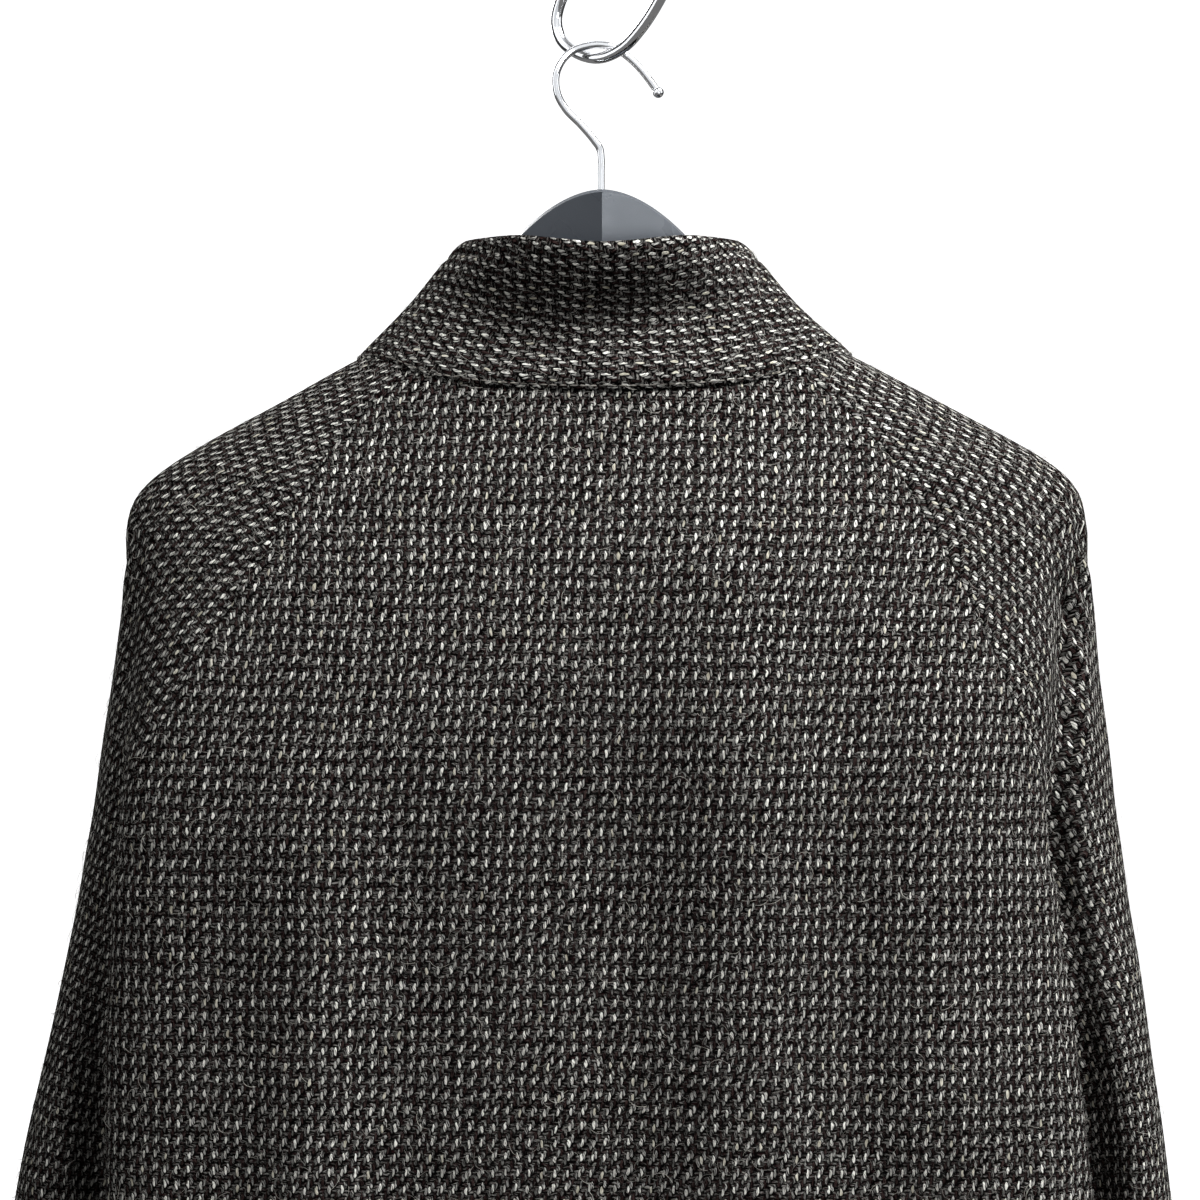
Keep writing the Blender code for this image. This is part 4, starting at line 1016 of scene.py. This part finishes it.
for side, name in ((1, "cuff_left"), (-1, "cuff_right")):
    drops = row_places(SLEEVE_DROP + SEAM_GAP, CUFF_DROP)
    grid = ordered([halved(sleeve_ring(drop, side), CUFF_COLUMNS) for drop in drops], side)
    grid[:, -1] = grid[:, 0]
    grid = grid + BAND_LIFT * grid_normals(grid, 0)
    flat, area = flatten(grid, grid.shape[1] // 2)
    piece = add_cloth(name + "_cloth", sewn(grid, 13 + side, 0, wave=0.3), flat, tweed, BAND_CLOTH, 0)
    hang_tweed(piece, name, flat, area, 33 + side)


# The collar
# A stand collar of two pressed layers, 3 mm together, cut across the grain so that its flecks lie
# level. It stands upright and leans out above, with a pressed furrow below its rolled top edge.
COLLAR_CLOTH = 3.0
COLLAR_LIFT = 1.0
COLLAR_TOP_HALF_WIDTH = 67.0
COLLAR_TOP_BACK_Y = 38.0
COLLAR_TOP_FRONT_Y = -96.0
COLLAR_TOP_BACK_DROP = -67.5
COLLAR_TOP_FRONT_DROP = -14.0
COLLAR_FOOT = -0.03     # where it starts, as a share of its height from the neckline up
CORNER_FOOT = 0.014     # and how much higher that is at the front raglan seam
CORNER_PLACE = (0.62, 0.14)     # share of the way round and half width of that place
COLLAR_LEAN = (20.0, 6.0)       # how far its top leans out at the centre back and at its sides
# Its upright section: the share of that lean from the foot up to the rolled top edge
COLLAR_SHAPE = table(("rise", "lean"), (
    (0, .07), (.06, .13), (.12, .09), (.20, -.03), (.30, -.16), (.38, -.21), (.45, -.21), (.52, -.13),
    (.60, .07), (.70, .40), (.80, .72), (.88, .91), (.94, .995), (1, 1)))
COLLAR_SIDE_LEAN = 0.4  # the share of the lean that goes sideways
COLLAR_DIP = 4.0        # its top edge is this much lower at the centre back
# Shares of the way round, from the centre back, between which the top edge goes down to the front, the
# dip ends, the lean turns from that of the back to that of the sides, and the lean ends
TOP_FALLS, DIP_ENDS, LEAN_TURNS, LEAN_ENDS = (0.35, 1), (0, 0.2), (0.12, 0.42), (0.5, 0.85)
COLLAR_COLUMNS = 62     # each side of the middle
COLLAR_ROW_SPACING = 2.05
FURROW = (8.0, 1.1, 1.8)    # distance below the top edge, depth and half width


def neck_line(side):
    """The neckline from the centre back over the shoulder to the centre front."""
    return np.vstack((back_line(0, side), sleeve_line(0, side)[1:], front_line(0, side)[1:]))


def collar_line(rise, side):
    """A row of the collar's surface; rise 0 is its foot and 1 the top edge."""
    base = divide(neck_line(side), 2 * DENSE)
    share = np.linspace(0, 1, 2 * DENSE + 1)
    angle = share * math.pi
    front = ease(share, *TOP_FALLS)
    middle_y = (COLLAR_TOP_BACK_Y + COLLAR_TOP_FRONT_Y) / 2
    half_depth = (COLLAR_TOP_BACK_Y - COLLAR_TOP_FRONT_Y) / 2
    drop = COLLAR_TOP_BACK_DROP + (COLLAR_TOP_FRONT_DROP - COLLAR_TOP_BACK_DROP) * front
    drop = drop + COLLAR_DIP * (1 - ease(share, *DIP_ENDS))
    top = np.stack((side * COLLAR_TOP_HALF_WIDTH * np.sin(angle), middle_y + half_depth * np.cos(angle),
                    -drop), axis=-1)
    corner = np.exp(-((share - CORNER_PLACE[0]) / CORNER_PLACE[1]) ** 2)
    foot = COLLAR_FOOT + CORNER_FOOT * corner
    rise = foot + (1 - foot) * rise
    outward = np.stack((side * np.sin(angle) * COLLAR_SIDE_LEAN, np.cos(angle), 0 * angle), axis=-1)
    lean = COLLAR_LEAN[0] + (COLLAR_LEAN[1] - COLLAR_LEAN[0]) * ease(share, *LEAN_TURNS)
    lean = lean * along(COLLAR_SHAPE["rise"], COLLAR_SHAPE["lean"], rise) * (1 - ease(share, *LEAN_ENDS))
    return base + (top - base) * rise[:, None] + outward * lean[:, None]


def collar_rows(side):
    """One side's rows of the collar, from its top edge down."""
    height = NECK_BACK_DROP - COLLAR_TOP_BACK_DROP
    rises = row_places(0, height, COLLAR_ROW_SPACING)[::-1] / height
    return [spread(collar_line(rise, side), COLLAR_COLUMNS, (0, ZIP_HALF_GAP), (False, True))
            for rise in rises]


grid = across_middle(collar_rows)
flat, area = flatten(grid, grid.shape[1] // 2, 90)
below_top = edge_distance(grid)[1]
furrow = FURROW[1] * np.exp(-((below_top - FURROW[0]) / FURROW[2]) ** 2)
grid = sewn(grid, 17, wave=0.5) + grid_normals(grid) * (COLLAR_LIFT - furrow)[..., None]
collar = add_cloth("collar_cloth", grid, flat, tweed, COLLAR_CLOTH)


def row_tree(name, kind, sizes, material):
    """Copies of one small shape, evenly spaced along a line and each turned along it."""
    tree, given, out = new_tree(
        name, (("Spacing", 0.004), ("Along", 0.003), ("Through", 0.0006), ("Across", 0.0006)))
    line = put(tree, "GeometryNodeMeshToCurve", (given["Shape"],)).outputs[0]
    even = put(tree, "GeometryNodeResampleCurve", {"Curve": line, "Length": given["Spacing"]}, mode="LENGTH")
    way = put(tree, "GeometryNodeInputTangent").outputs[0]
    turned = put(tree, "FunctionNodeAlignRotationToVector", {"Vector": way}, axis="X").outputs[0]
    size = put(tree, "ShaderNodeCombineXYZ", (given["Along"], given["Through"], given["Across"])).outputs[0]
    laid = put(tree, "GeometryNodeInstanceOnPoints", {
        "Points": even.outputs[0], "Instance": put(tree, kind, sizes).outputs[0], "Rotation": turned,
        "Scale": size}).outputs[0]
    end_tree(tree, laid, material, out)
    return tree


def line_mesh(points):
    """A line through points in millimetres, for a row to follow."""
    mesh = bpy.data.meshes.new("line")
    mesh.from_pydata(placed(points), [(k, k + 1) for k in range(len(points) - 1)], [])
    return mesh


thread, tree, shader = new_material("thread", Roughness=0.75, Specular_IOR_Level=0.2)
tree.links.new(blend(tree, mottle(tree, 140, 0, 1), (.30, .28, .25, 1), (.075, .07, .062, 1)),
               shader.inputs["Base Color"])
STITCHES = row_tree("Stitches", "GeometryNodeMeshUVSphere", {"Segments": 10, "Rings": 6, "Radius": 0.5},
                    thread)
STITCH_ROW = -3         # the stitches follow this row of the collar, near its foot
seam_line = grid[STITCH_ROW] + 0.15 * grid_normals(grid)[STITCH_ROW]
stitches = grown("collar_stitches", line_mesh(seam_line), STITCHES,
                 Spacing=0.0046, Along=0.0033, Through=0.0006, Across=0.0007)
hang_tweed(collar, "collar", flat, area, 37, stitches)


# The zip
# Two woven tapes behind the edges of the fronts, metal teeth between them, and near the collar's top
# edge a slider with a hinged pull tab. None of it is seen in the photograph; it is finished plainly.
TAPE_WIDTH = 14.0
TAPE_CLOTH = 1.0
TAPE_DEPTH = CLOTH + 0.8    # behind the fronts' outer face
TAPE_COLUMNS = 8
TOOTH_SPACING = 2.6
TOOTH = (1.05, 1.1, 3.6)    # along the zip, through it and across it
TOOTH_ASIDE = 1.2       # from the middle of the zip to that of a tooth
TEETH_END = 3.0         # the lowest tooth lies this far above the hem
SLIDER_BELOW_TOP = 9.0
HINGE_RISE = 6.0        # the pull tab's hinge stands this far off the tape
# The slider about that hinge: its plate's outline across and up, and its near and far face
SLIDER_OUTLINE = ((-4.5, 3.8), (-3.0, 5.5), (3.0, 5.5), (4.5, 3.8), (4.5, 1.0), (3.5, -5.5), (-3.5, -5.5),
                  (-4.5, 1.0))
SLIDER_FACES = (1.6, 5.7)
# Its bridge's outline, through and up, and the radius of the bore in it for the tab
BRIDGE = np.array(((2.1, -4.5), (-0.4, -4.1), (-1.6, -3.0), (-2.1, -1.4), (-2.1, 1.4), (-1.6, 3.0),
                   (-0.4, 4.1), (2.1, 4.5)))
BRIDGE_HALF_WIDTH = 1.1
BRIDGE_BORE = 1.1
BRIDGE_SIDES = 40
SLIDER_EDGE = 0.35      # width of its rounded edges
# The pull tab: lines across and up it, with an opening for the bridge near its upper end
TAB_ACROSS = (-3.5, -1.7, 1.7, 3.5)
TAB_UP = (-28.0, -26.0, -6.2, -0.6, 0.6)
TAB_OPENING = (1, 2)
TAB_HALF_DEPTH = 0.6
TAB_TIP = 0.6           # the share of its width that its lower end keeps
TAB_EDGE = 0.3


def middle_lines(side):
    """The garment's rows at the front, from the collar's top edge to the hem, up to the middle."""
    lines = [collar_line(rise, side) for rise in np.linspace(1, 0, 6)]
    lines += [front_line(level, side) for level in YOKE_LEVELS[1::2]]
    lines += [body_line(drop, side, (UNDERARM_TURN, 2)) for drop in BODY_DROPS]
    return lines + [lines[-1] + (0, 0, BODY_DROP - HEM_DROP)]


tape_cloth, tree, shader = new_material("zip_tape_cloth", Roughness=0.8, Specular_IOR_Level=0.25)
axes = put(tree, "ShaderNodeSeparateXYZ", (cut_place(tree),)).outputs
yarn = put(tree, "ShaderNodeGroup", {
    "U": axes[0], "V": axes[1], "Pitch U": 0.5, "Pitch V": 1.8, "Half Width": 0.26, "Half Length": 0.75},
    node_tree=YARN_FLOAT).outputs
# Painted shade: the tape darkens towards the edges of each yarn float, where the yarns dip under each other;
# the tone that differs from float to float is the tape's own
shade = calc(tree, "MULTIPLY", yarn["Height"], calc(tree, "MULTIPLY_ADD", yarn["Chance"], 0.5, 0.5))
tree.links.new(blend(tree, shade, (.004, .004, .004, 1), (.032, .031, .030, 1)), shader.inputs["Base Color"])
tree.links.new(put(tree, "ShaderNodeBump", {"Distance": 0.0002, "Height": yarn["Height"]}).outputs[0],
               shader.inputs["Normal"])

zip_metal, tree, shader = new_material("zip_nickel", Base_Color=(.60, .59, .57, 1), Metallic=1.0)
tree.links.new(mottle(tree, 700, 0.2, 0.38), shader.inputs["Roughness"])
TEETH = row_tree("Zip teeth", "GeometryNodeMeshCylinder", {"Vertices": 12, "Radius": 0.5, "Depth": 1.0},
                 zip_metal)

middles = np.array([line[-1] for line in middle_lines(1)]) * (0, 1, 1)
down = lengths_along(middles)
for side, name in ((1, "zip_tape_left"), (-1, "zip_tape_right")):
    rows = [spread(line, TAPE_COLUMNS, (lengths_along(line)[-1] - TAPE_WIDTH, SEAM_GAP), (False, False))
            for line in middle_lines(side)]
    grid = refine(down, ordered(rows, side))
    grid = grid - TAPE_DEPTH * grid_normals(grid)
    flat, area = flatten(grid, -1 if side > 0 else 0)
    tape = add_cloth(name + "_cloth", grid, flat, tape_cloth, TAPE_CLOTH)
    start = SLIDER_BELOW_TOP + (0.25 + 0.25 * side) * TOOTH_SPACING
    centre = along(down, middles, np.arange(start, down[-1] - TEETH_END, TOOTH_SPACING / 2))
    heading = np.gradient(centre, axis=0)
    out = unit(np.stack((0 * heading[:, 0], heading[:, 2], -heading[:, 1]), axis=-1))
    centre = centre + out * (TOOTH[1] / 2 - TAPE_DEPTH) + (side * TOOTH_ASIDE, 0, 0)
    teeth = grown(name + "_teeth", line_mesh(centre), TEETH, Spacing=TOOTH_SPACING * 0.001,
                  Along=TOOTH[0] * 0.001, Through=TOOTH[1] * 0.001, Across=TOOTH[2] * 0.001)
    hang(tape, name, [teeth])


def fit(piece, node, finish, body="jacket"):
    """A hard piece rides on its body and stands for its CAD node."""
    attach(piece, body)
    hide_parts(node)


def bevelled(name, shape, width, turn):
    """An object from a shape in the zip's own frame, with its edges rounded, set at the hinge."""
    bmesh.ops.recalc_face_normals(shape, faces=shape.faces)
    edges = [edge for edge in shape.edges if edge.is_manifold and edge.calc_face_angle() > math.radians(35)]
    bmesh.ops.bevel(shape, geom=edges, offset=width, segments=3, profile=0.5, affect="EDGES",
                    clamp_overlap=True)
    points = np.array([vertex.co for vertex in shape.verts])
    shape.verts.index_update()
    faces = [[vertex.index for vertex in face.verts] for face in shape.faces]
    shape.free()
    y = points[:, 1] * math.cos(turn) - points[:, 2] * math.sin(turn)
    z = points[:, 1] * math.sin(turn) + points[:, 2] * math.cos(turn)
    made = add_mesh(name, np.stack((points[:, 0], y, z), axis=-1) + hinge, faces, zip_metal)
    made.data.set_sharp_from_angle(angle=math.radians(40))
    return made


def add_prism(shape, outline, near, far):
    """A flat plate with an outline across and up, between two depths."""
    rings = [[shape.verts.new((x, y, z)) for x, z in outline] for y in (near, far)]
    for ring in rings:
        shape.faces.new(ring)
    for k in range(len(outline)):
        n = (k + 1) % len(outline)
        shape.faces.new((rings[0][k], rings[0][n], rings[1][n], rings[1][k]))


up = unit(middles[0] - middles[1])
out = np.array((0, -up[2], up[1]))
hinge = middles[0] - up * SLIDER_BELOW_TOP + out * (HINGE_RISE - TAPE_DEPTH)

shape = bmesh.new()
add_prism(shape, SLIDER_OUTLINE, *SLIDER_FACES)
loops = []
for angle in np.linspace(0, 2 * math.pi, BRIDGE_SIDES, endpoint=False):
    ray = np.array((math.cos(angle), math.sin(angle)))
    reach = []
    for a, b in zip(BRIDGE, np.roll(BRIDGE, -1, axis=0)):
        wall = np.array((b[1] - a[1], a[0] - b[0]))
        if abs(wall @ ray) > 1e-9 and (wall @ a) / (wall @ ray) > 0:
            reach.append((wall @ a) / (wall @ ray))
    loops.append((ray * min(reach), ray * BRIDGE_BORE))
corners = [[[shape.verts.new((x, *loops[k][ring])) for k in range(BRIDGE_SIDES)] for ring in (0, 1)]
           for x in (-BRIDGE_HALF_WIDTH, BRIDGE_HALF_WIDTH)]
for k in range(BRIDGE_SIDES):
    n = (k + 1) % BRIDGE_SIDES
    for x in (0, 1):
        shape.faces.new((corners[x][0][k], corners[x][0][n], corners[x][1][n], corners[x][1][k]))
    for ring in (0, 1):
        shape.faces.new((corners[0][ring][k], corners[0][ring][n], corners[1][ring][n], corners[1][ring][k]))
slider = bevelled("zip_slider_body", shape, SLIDER_EDGE, math.atan2(-up[1], up[2]))
fit(slider, "zip_slider", "zip_metal")

shape = bmesh.new()
cells = {}
for depth in (0, 1):
    for i, x in enumerate(TAB_ACROSS):
        for k, z in enumerate(TAB_UP):
            narrow = TAB_TIP if k == 0 else 1.0
            cells[depth, i, k] = shape.verts.new((x * narrow, TAB_HALF_DEPTH * (2 * depth - 1), z))
solid = {(i, k) for i in range(3) for k in range(4)} - {TAB_OPENING}
for i, k in solid:
    for depth in (0, 1):
        shape.faces.new([cells[depth, a, b] for a, b in ((i, k), (i + 1, k), (i + 1, k + 1), (i, k + 1))])
    for (di, dk), (a, b) in (((-1, 0), ((i, k), (i, k + 1))), ((1, 0), ((i + 1, k), (i + 1, k + 1))),
                             ((0, -1), ((i, k), (i + 1, k))), ((0, 1), ((i, k + 1), (i + 1, k + 1)))):
        if (i + di, k + dk) not in solid:
            shape.faces.new((cells[0, *a], cells[0, *b], cells[1, *b], cells[1, *a]))
pull = bevelled("zip_pull_tab", shape, TAB_EDGE, 0.0)
fit(pull, "zip_pull", "zip_metal", body="zip_pull")


# The hanger
# A moulded plastic body with a dome in the middle, whose two facets meet in a sharp upright ridge,
# and two sloping arms inside the shoulders. Satin charcoal blue.
DOME_RADIUS = 46.0
DOME_TOP = 91.5
DOME_FALL = (0.0195, 1.9)   # its top falls off sideways by this share of this power of the distance
DOME_RIDGE = 7.0        # how far the ridge stands out
DOME_SKIRT = 40.0       # the dome reaches this much lower than the arms
SKIRT_ENDS = (20, 80)   # distances from the middle between which that ends
ARM_TIP = 209.0
ARM_TIP_LENGTH = 16.0
ARM_TIP_FALL = 2.0      # at its tip the arm's top is this much lower, and it is lower and narrower itself
ARM_TIP_LOSS = 4.0
ARM_TIP_NARROW = 0.5
ARM_HEIGHT = 18.0
ARM_HALF_DEPTH = (9.0, 13.0)    # near the dome and near the tip
ARM_WIDENS = (60, 190)
ARM_SHOULDER = 5.0      # how far its upper edge is rounded off
ARM_SWEEP = 0.10        # the arms lie further forward by this share of the distance
ARM_UNDER_RIDGE = 3.6   # below the shoulder line's outer face
ARM_ROOT = 90.0         # inside this distance the arm rises to the dome, from a little lower
ARM_ROOT_FALL = 4.0
ARM_ROOT_SLOPE = 0.5
SECTION_POINTS = 6      # between two corners of the section
SECTION_ROUND = 0.6     # how far the arms' sections are rounded, from sharp ones at the dome
ROUND_STARTS = (40, 80)


def shoulder_height(x):
    """Height of the shoulder line's outer face at a distance from the middle."""
    drops = np.linspace(BODY["drop"][0], 60, 200)
    return -np.interp(x, read(BODY, "half_width", drops), drops)


def hanger_section(x):
    """The hanger's section across one arm, as points round it."""
    out = abs(x)
    top = shoulder_height(max(out, ARM_ROOT)) - ARM_UNDER_RIDGE
    if out < ARM_ROOT:
        top += ARM_ROOT_SLOPE * (ARM_ROOT - out) - ARM_ROOT_FALL
    top = max(top, DOME_TOP - DOME_FALL[0] * out ** DOME_FALL[1])
    tip = ease(out, ARM_TIP - ARM_TIP_LENGTH, ARM_TIP)
    half = ARM_HALF_DEPTH[0] + (ARM_HALF_DEPTH[1] - ARM_HALF_DEPTH[0]) * ease(out, *ARM_WIDENS)
    half *= 1 - ARM_TIP_NARROW * tip
    ridge = DOME_RIDGE * max(1 - out / DOME_RADIUS, 0)
    middle_y = -ARM_SWEEP * out
    height = ARM_HEIGHT + DOME_SKIRT * (1 - ease(out, *SKIRT_ENDS)) - ARM_TIP_LOSS * tip
    top -= ARM_TIP_FALL * tip
    shoulder = ARM_SHOULDER * (0.25 + 0.75 * ease(out, DOME_RADIUS - 8, DOME_RADIUS + 20))
    edge, flank, bottom = top - 0.4 * shoulder, top - 1.6 * shoulder, top - height
    corners = np.array(((middle_y, top), (middle_y + half * 0.7 + ridge, edge),
                        (middle_y + half + ridge, flank), (middle_y + half + ridge * 0.5, bottom + 2),
                        (middle_y, bottom), (middle_y - half, bottom + 2), (middle_y - half, flank),
                        (middle_y - half * 0.7, edge)))
    wrapped = np.vstack((corners[-3:], corners, corners[:4]))
    lengths = lengths_along(wrapped)
    wanted = np.concatenate([np.linspace(lengths[k], lengths[k + 1], SECTION_POINTS, endpoint=False)
                             for k in range(3, 3 + len(corners))])
    smooth = along(lengths, wrapped, wanted)
    straight = np.stack([np.interp(wanted, lengths, wrapped[:, k]) for k in range(2)], axis=-1)
    section = straight + SECTION_ROUND * ease(out, *ROUND_STARTS) * (smooth - straight)
    return np.column_stack((np.full(len(section), x), section))


stations = np.unique(np.concatenate((
    np.arange(0, 60, 1.5), np.arange(60, 190, 5), np.arange(190, ARM_TIP, 2), (DOME_RADIUS - 0.1, ARM_TIP))))
stations = np.concatenate((-stations[:0:-1], stations))
sections = np.array([hanger_section(x) for x in stations])
count = sections.shape[1]
faces = [tuple(range(count))]
for s in range(len(stations) - 1):
    for k in range(count):
        a, b = s * count + k, s * count + (k + 1) % count
        faces.append((b, a, a + count, b + count))
last = (len(stations) - 1) * count
faces.append(tuple(last + k for k in reversed(range(count))))
plastic, tree, shader = new_material("hanger_plastic", Base_Color=(0.042, 0.049, 0.061, 1))
tree.links.new(mottle(tree, 45, 0.25, 0.36), shader.inputs["Roughness"])
grained = put(tree, "ShaderNodeBump", {"Distance": 0.00002, "Height": mottle(tree, 2600, 0, 1)}).outputs[0]
tree.links.new(grained, shader.inputs["Normal"])
hanger = add_mesh("hanger", sections.reshape(-1, 3), faces, plastic)
hanger.data.set_sharp_from_angle(angle=math.radians(14))
fit(hanger, "hanger_body", "hanger_plastic")


# The hooks
# Bright chromed wire: the hanger's own hook with a ball at its tip, and the larger S-hook in which
# it hangs. The S-hook's upper bend rests on the rail that holds everything.
HOOK_WIRE = 3.6
S_WIRE = 5.6
S_PLANE_TURN = 37.0     # degrees between the two hooks' planes
WIRE_SIDES = 28
WIRE_CLEARANCE = 0.3
HOOK_TOP = 160.0
S_BOTTOM = HOOK_TOP - (HOOK_WIRE + S_WIRE) / 2 - 5 * WIRE_CLEARANCE
S_MIDDLE = (-0.75, S_BOTTOM + 50.3)
TIP_BALL = 2.7          # radius
BALL_NECK = -0.45       # where the wire enters the ball, as a share of a right angle up from its middle
# The wires' routes, across and up: the hanger's hook from the dome up and over, and the S-hook's lower
# bend above its lowest point
HOOK_ROUTE = (
    (0.5, DOME_TOP + WIRE_CLEARANCE), (0.5, 100), (0.5, 107), (1.1, 111.2), (3.4, 114.6), (10.3, 122.7),
    (17, 129.6), (21, 137.2), (21.5, 146), (19, 152), (14, 156.9), (7.5, 159.3), (0.8, HOOK_TOP),
    (-5.6, 158.6), (-11.5, 154.8), (-17, 149.8), (-21.5, 144.4), (-25.4, 139.0))
S_ROUTE = (
    (41, 34), (36, 28), (30, 20), (23, 12.2), (13, 4.2), (-1.5, 0), (-16, 3.8), (-24, 10), (-27, 18.5),
    (-24.5, 28), (-15, 39))


def wire_mesh(route, wire, count, ball=0.0):
    """Points and faces of a round wire along a route, with a ball at its end if one is given."""
    route = np.array(route, float)
    length = lengths_along(route)
    path = along(length, route, np.linspace(0, length[-1], count))
    radius = np.full(count, wire / 2)
    heading = unit(np.gradient(path, axis=0))
    for end, way in ((0, -1), (-1, 1)):
        size, middle = wire / 2, path[end]
        steep = np.linspace(0.15, 1, 9) * math.pi / 2
        if ball and way > 0:
            size = ball
            steep = np.linspace(BALL_NECK, 1, 16) * math.pi / 2
            middle = path[end] - heading[end] * size * math.sin(BALL_NECK * math.pi / 2)
        cap = middle + heading[end] * way * size * np.sin(steep)[:, None]
        caps = size * np.maximum(np.cos(steep), 0.02)
        headings = np.repeat(heading[end][None], len(cap), axis=0)
        if way > 0:
            path, radius = np.vstack((path, cap)), np.append(radius, caps)
            heading = np.vstack((heading, headings))
        else:
            path, radius = np.vstack((cap[::-1], path)), np.append(caps[::-1], radius)
            heading = np.vstack((headings, heading))
    flat_way = unit(np.cross(heading[0], heading[len(heading) // 3]))
    other = unit(np.cross(heading, flat_way))
    around = np.linspace(0, 2 * math.pi, WIRE_SIDES, endpoint=False)
    ring = np.cos(around)[None, :, None] * flat_way + np.sin(around)[None, :, None] * other[:, None]
    points = path[:, None] + radius[:, None, None] * ring
    numbers = np.arange(len(path) * WIRE_SIDES).reshape(-1, WIRE_SIDES)
    after = np.roll(numbers, -1, axis=1)
    quads = np.stack((numbers[:-1], numbers[1:], after[1:], after[:-1]), axis=-1).reshape(-1, 4)
    return points.reshape(-1, 3), [*quads.tolist(), numbers[0].tolist(), numbers[-1, ::-1].tolist()]


chrome, tree, shader = new_material("wire", Base_Color=(0.78, 0.78, 0.79, 1), Metallic=1.0)
tree.links.new(mottle(tree, 300, 0.06, 0.12), shader.inputs["Roughness"])
route = [(x, 0, rise) for x, rise in HOOK_ROUTE]
hook = add_mesh("hanger_wire_hook", *wire_mesh(route, HOOK_WIRE, 170, TIP_BALL), chrome)
fit(hook, "hanger_hook", "wire")

lower = [(across, S_BOTTOM + rise) for across, rise in S_ROUTE]
upper = [(2 * S_MIDDLE[0] - across, 2 * S_MIDDLE[1] - rise) for across, rise in reversed(lower)]
turn = math.radians(S_PLANE_TURN)
route = [(-across * math.cos(turn), across * math.sin(turn), rise)
         for across, rise in lower + [S_MIDDLE] + upper]
s_hook = add_mesh("s_wire_hook", *wire_mesh(route, S_WIRE, 260), chrome)
fit(s_hook, "s_hook", "wire")


# The studio
# A round pale floor that curves up into a wall and a ceiling, a large soft lamp at the upper right of
# the picture, a weaker one at its left and one for the front. The cards show only in bright surfaces.
scene = bpy.context.scene
FLOOR = -1.02
WALL = 9.0
BACKDROP_SIDES = 64
BACKDROP_PROFILE = (    # distance from the middle and height
    (0.02, FLOOR), (8.0, FLOOR), (8.5, FLOOR + 0.14), (8.87, FLOOR + 0.5), (WALL, FLOOR + 1), (WALL, 7),
    (8.5, 8), (0.02, 8.5))
GARMENT_BACK = (0, 0.03, -0.28)     # where the two lamps behind the garment aim, and the one before it
GARMENT_FRONT = (0, -0.05, -0.5)
LAMP_SIZE = 1.2
CARDS = (               # name, glow, shade of the paper and corners
    ("front_card", 20.0, 0.9,
     ((-1.45, 2.75, -0.85), (-0.45, 2.8, -0.85), (-0.45, 2.8, 0.2), (-1.45, 2.75, 0.2))),
    ("tent_card", 0.5, 0.9, ((-3, 3.2, -1), (3, 3.2, -1), (3, 1, 3), (-3, 1, 3))),
    ("front_tent_card", 0.5, 0.9, ((3, -3.2, -1), (-3, -3.2, -1), (-3, -1, 3), (3, -1, 3))),
    ("right_card", 0.8, 0.9, ((-2.2, -0.2, -0.4), (-2.2, 1.8, -0.4), (-2.2, 1.8, 1.6), (-2.2, -0.2, 1.6))),
    ("left_card", 0.8, 0.9, ((2.2, 1.8, -0.6), (2.2, 0.3, -0.6), (2.2, 0.3, 1.2), (2.2, 1.8, 1.2))),
    ("right_flag", 0.0, 0.02,
     ((-0.8, -1.1, -0.5), (-0.8, 0.0, -0.5), (-0.8, 0.0, 0.6), (-0.8, -1.1, 0.6))),
    ("left_flag", 0.0, 0.02, ((0.8, 0.0, -0.5), (0.8, -1.1, -0.5), (0.8, -1.1, 0.6), (0.8, 0.0, 0.6))),
)


def add_paper(name, points, faces, shade, glow, glow_colour, hidden_from):
    """A piece of glowing paper in the studio that some kinds of ray don't meet."""
    mesh = bpy.data.meshes.new(name)
    mesh.from_pydata(points, [], faces)
    paper, _, _ = new_material(name + "_paper", Base_Color=(shade, shade, shade, 1), Roughness=0.9,
                               Emission_Color=glow_colour, Emission_Strength=glow)
    mesh.materials.append(paper)
    mesh.shade_smooth()
    made = linked(name, mesh)
    for ray in hidden_from:
        setattr(made, "visible_" + ray, False)


def add_lamp(name, location, aim, power):
    """A soft square lamp aimed at a point."""
    data = bpy.data.lights.new(name, "AREA")
    data.size, data.energy = LAMP_SIZE, power
    lamp = linked(name, data)
    lamp.location = location
    x, y, z = np.array(location) - np.array(aim)
    lamp.rotation_euler = (math.atan2(math.hypot(x, y), z), 0, math.atan2(x, -y))


points = [(r * math.cos(a), r * math.sin(a), z) for r, z in BACKDROP_PROFILE
          for a in np.linspace(0, 2 * math.pi, BACKDROP_SIDES, endpoint=False)]
numbers = np.arange(len(points)).reshape(-1, BACKDROP_SIDES)
after = np.roll(numbers, -1, axis=1)
faces = np.stack((numbers[:-1], after[:-1], after[1:], numbers[1:]), axis=-1).reshape(-1, 4).tolist()
faces.append(numbers[0, ::-1].tolist())
add_paper("backdrop", points, faces, 0.9, 0.95, (1, 1, 1, 1), ("shadow", "glossy", "diffuse"))
for name, glow, shade, corners in CARDS:
    add_paper(name, corners, [(0, 1, 2, 3)], shade, glow, (0.9, 0.95, 1, 1), ("camera", "diffuse", "shadow"))
add_lamp("key", (-1.15, 0.85, 1.55), GARMENT_BACK, 106)
add_lamp("fill", (1.3, 1.7, 1.2), GARMENT_BACK, 11)
add_lamp("front", (0.9, -2.3, 0.5), GARMENT_FRONT, 38)

world = bpy.data.worlds.new("studio")
scene.world = world
world.use_nodes = True
world.node_tree.nodes["Background"].inputs[0].default_value = (0.2, 0.2, 0.2, 1)
world.node_tree.nodes["Background"].inputs[1].default_value = 1.0

camera = bpy.data.cameras.new("camera")
camera.sensor_width, camera.lens = 36, 153.2
holder = linked("camera", camera)
holder.location = (0.00094, 2.4, -0.3527)
holder.rotation_euler = (math.pi / 2, 0, math.pi)
scene.camera = holder
scene.view_settings.view_transform = "Standard"

bpy.context.view_layer.update()
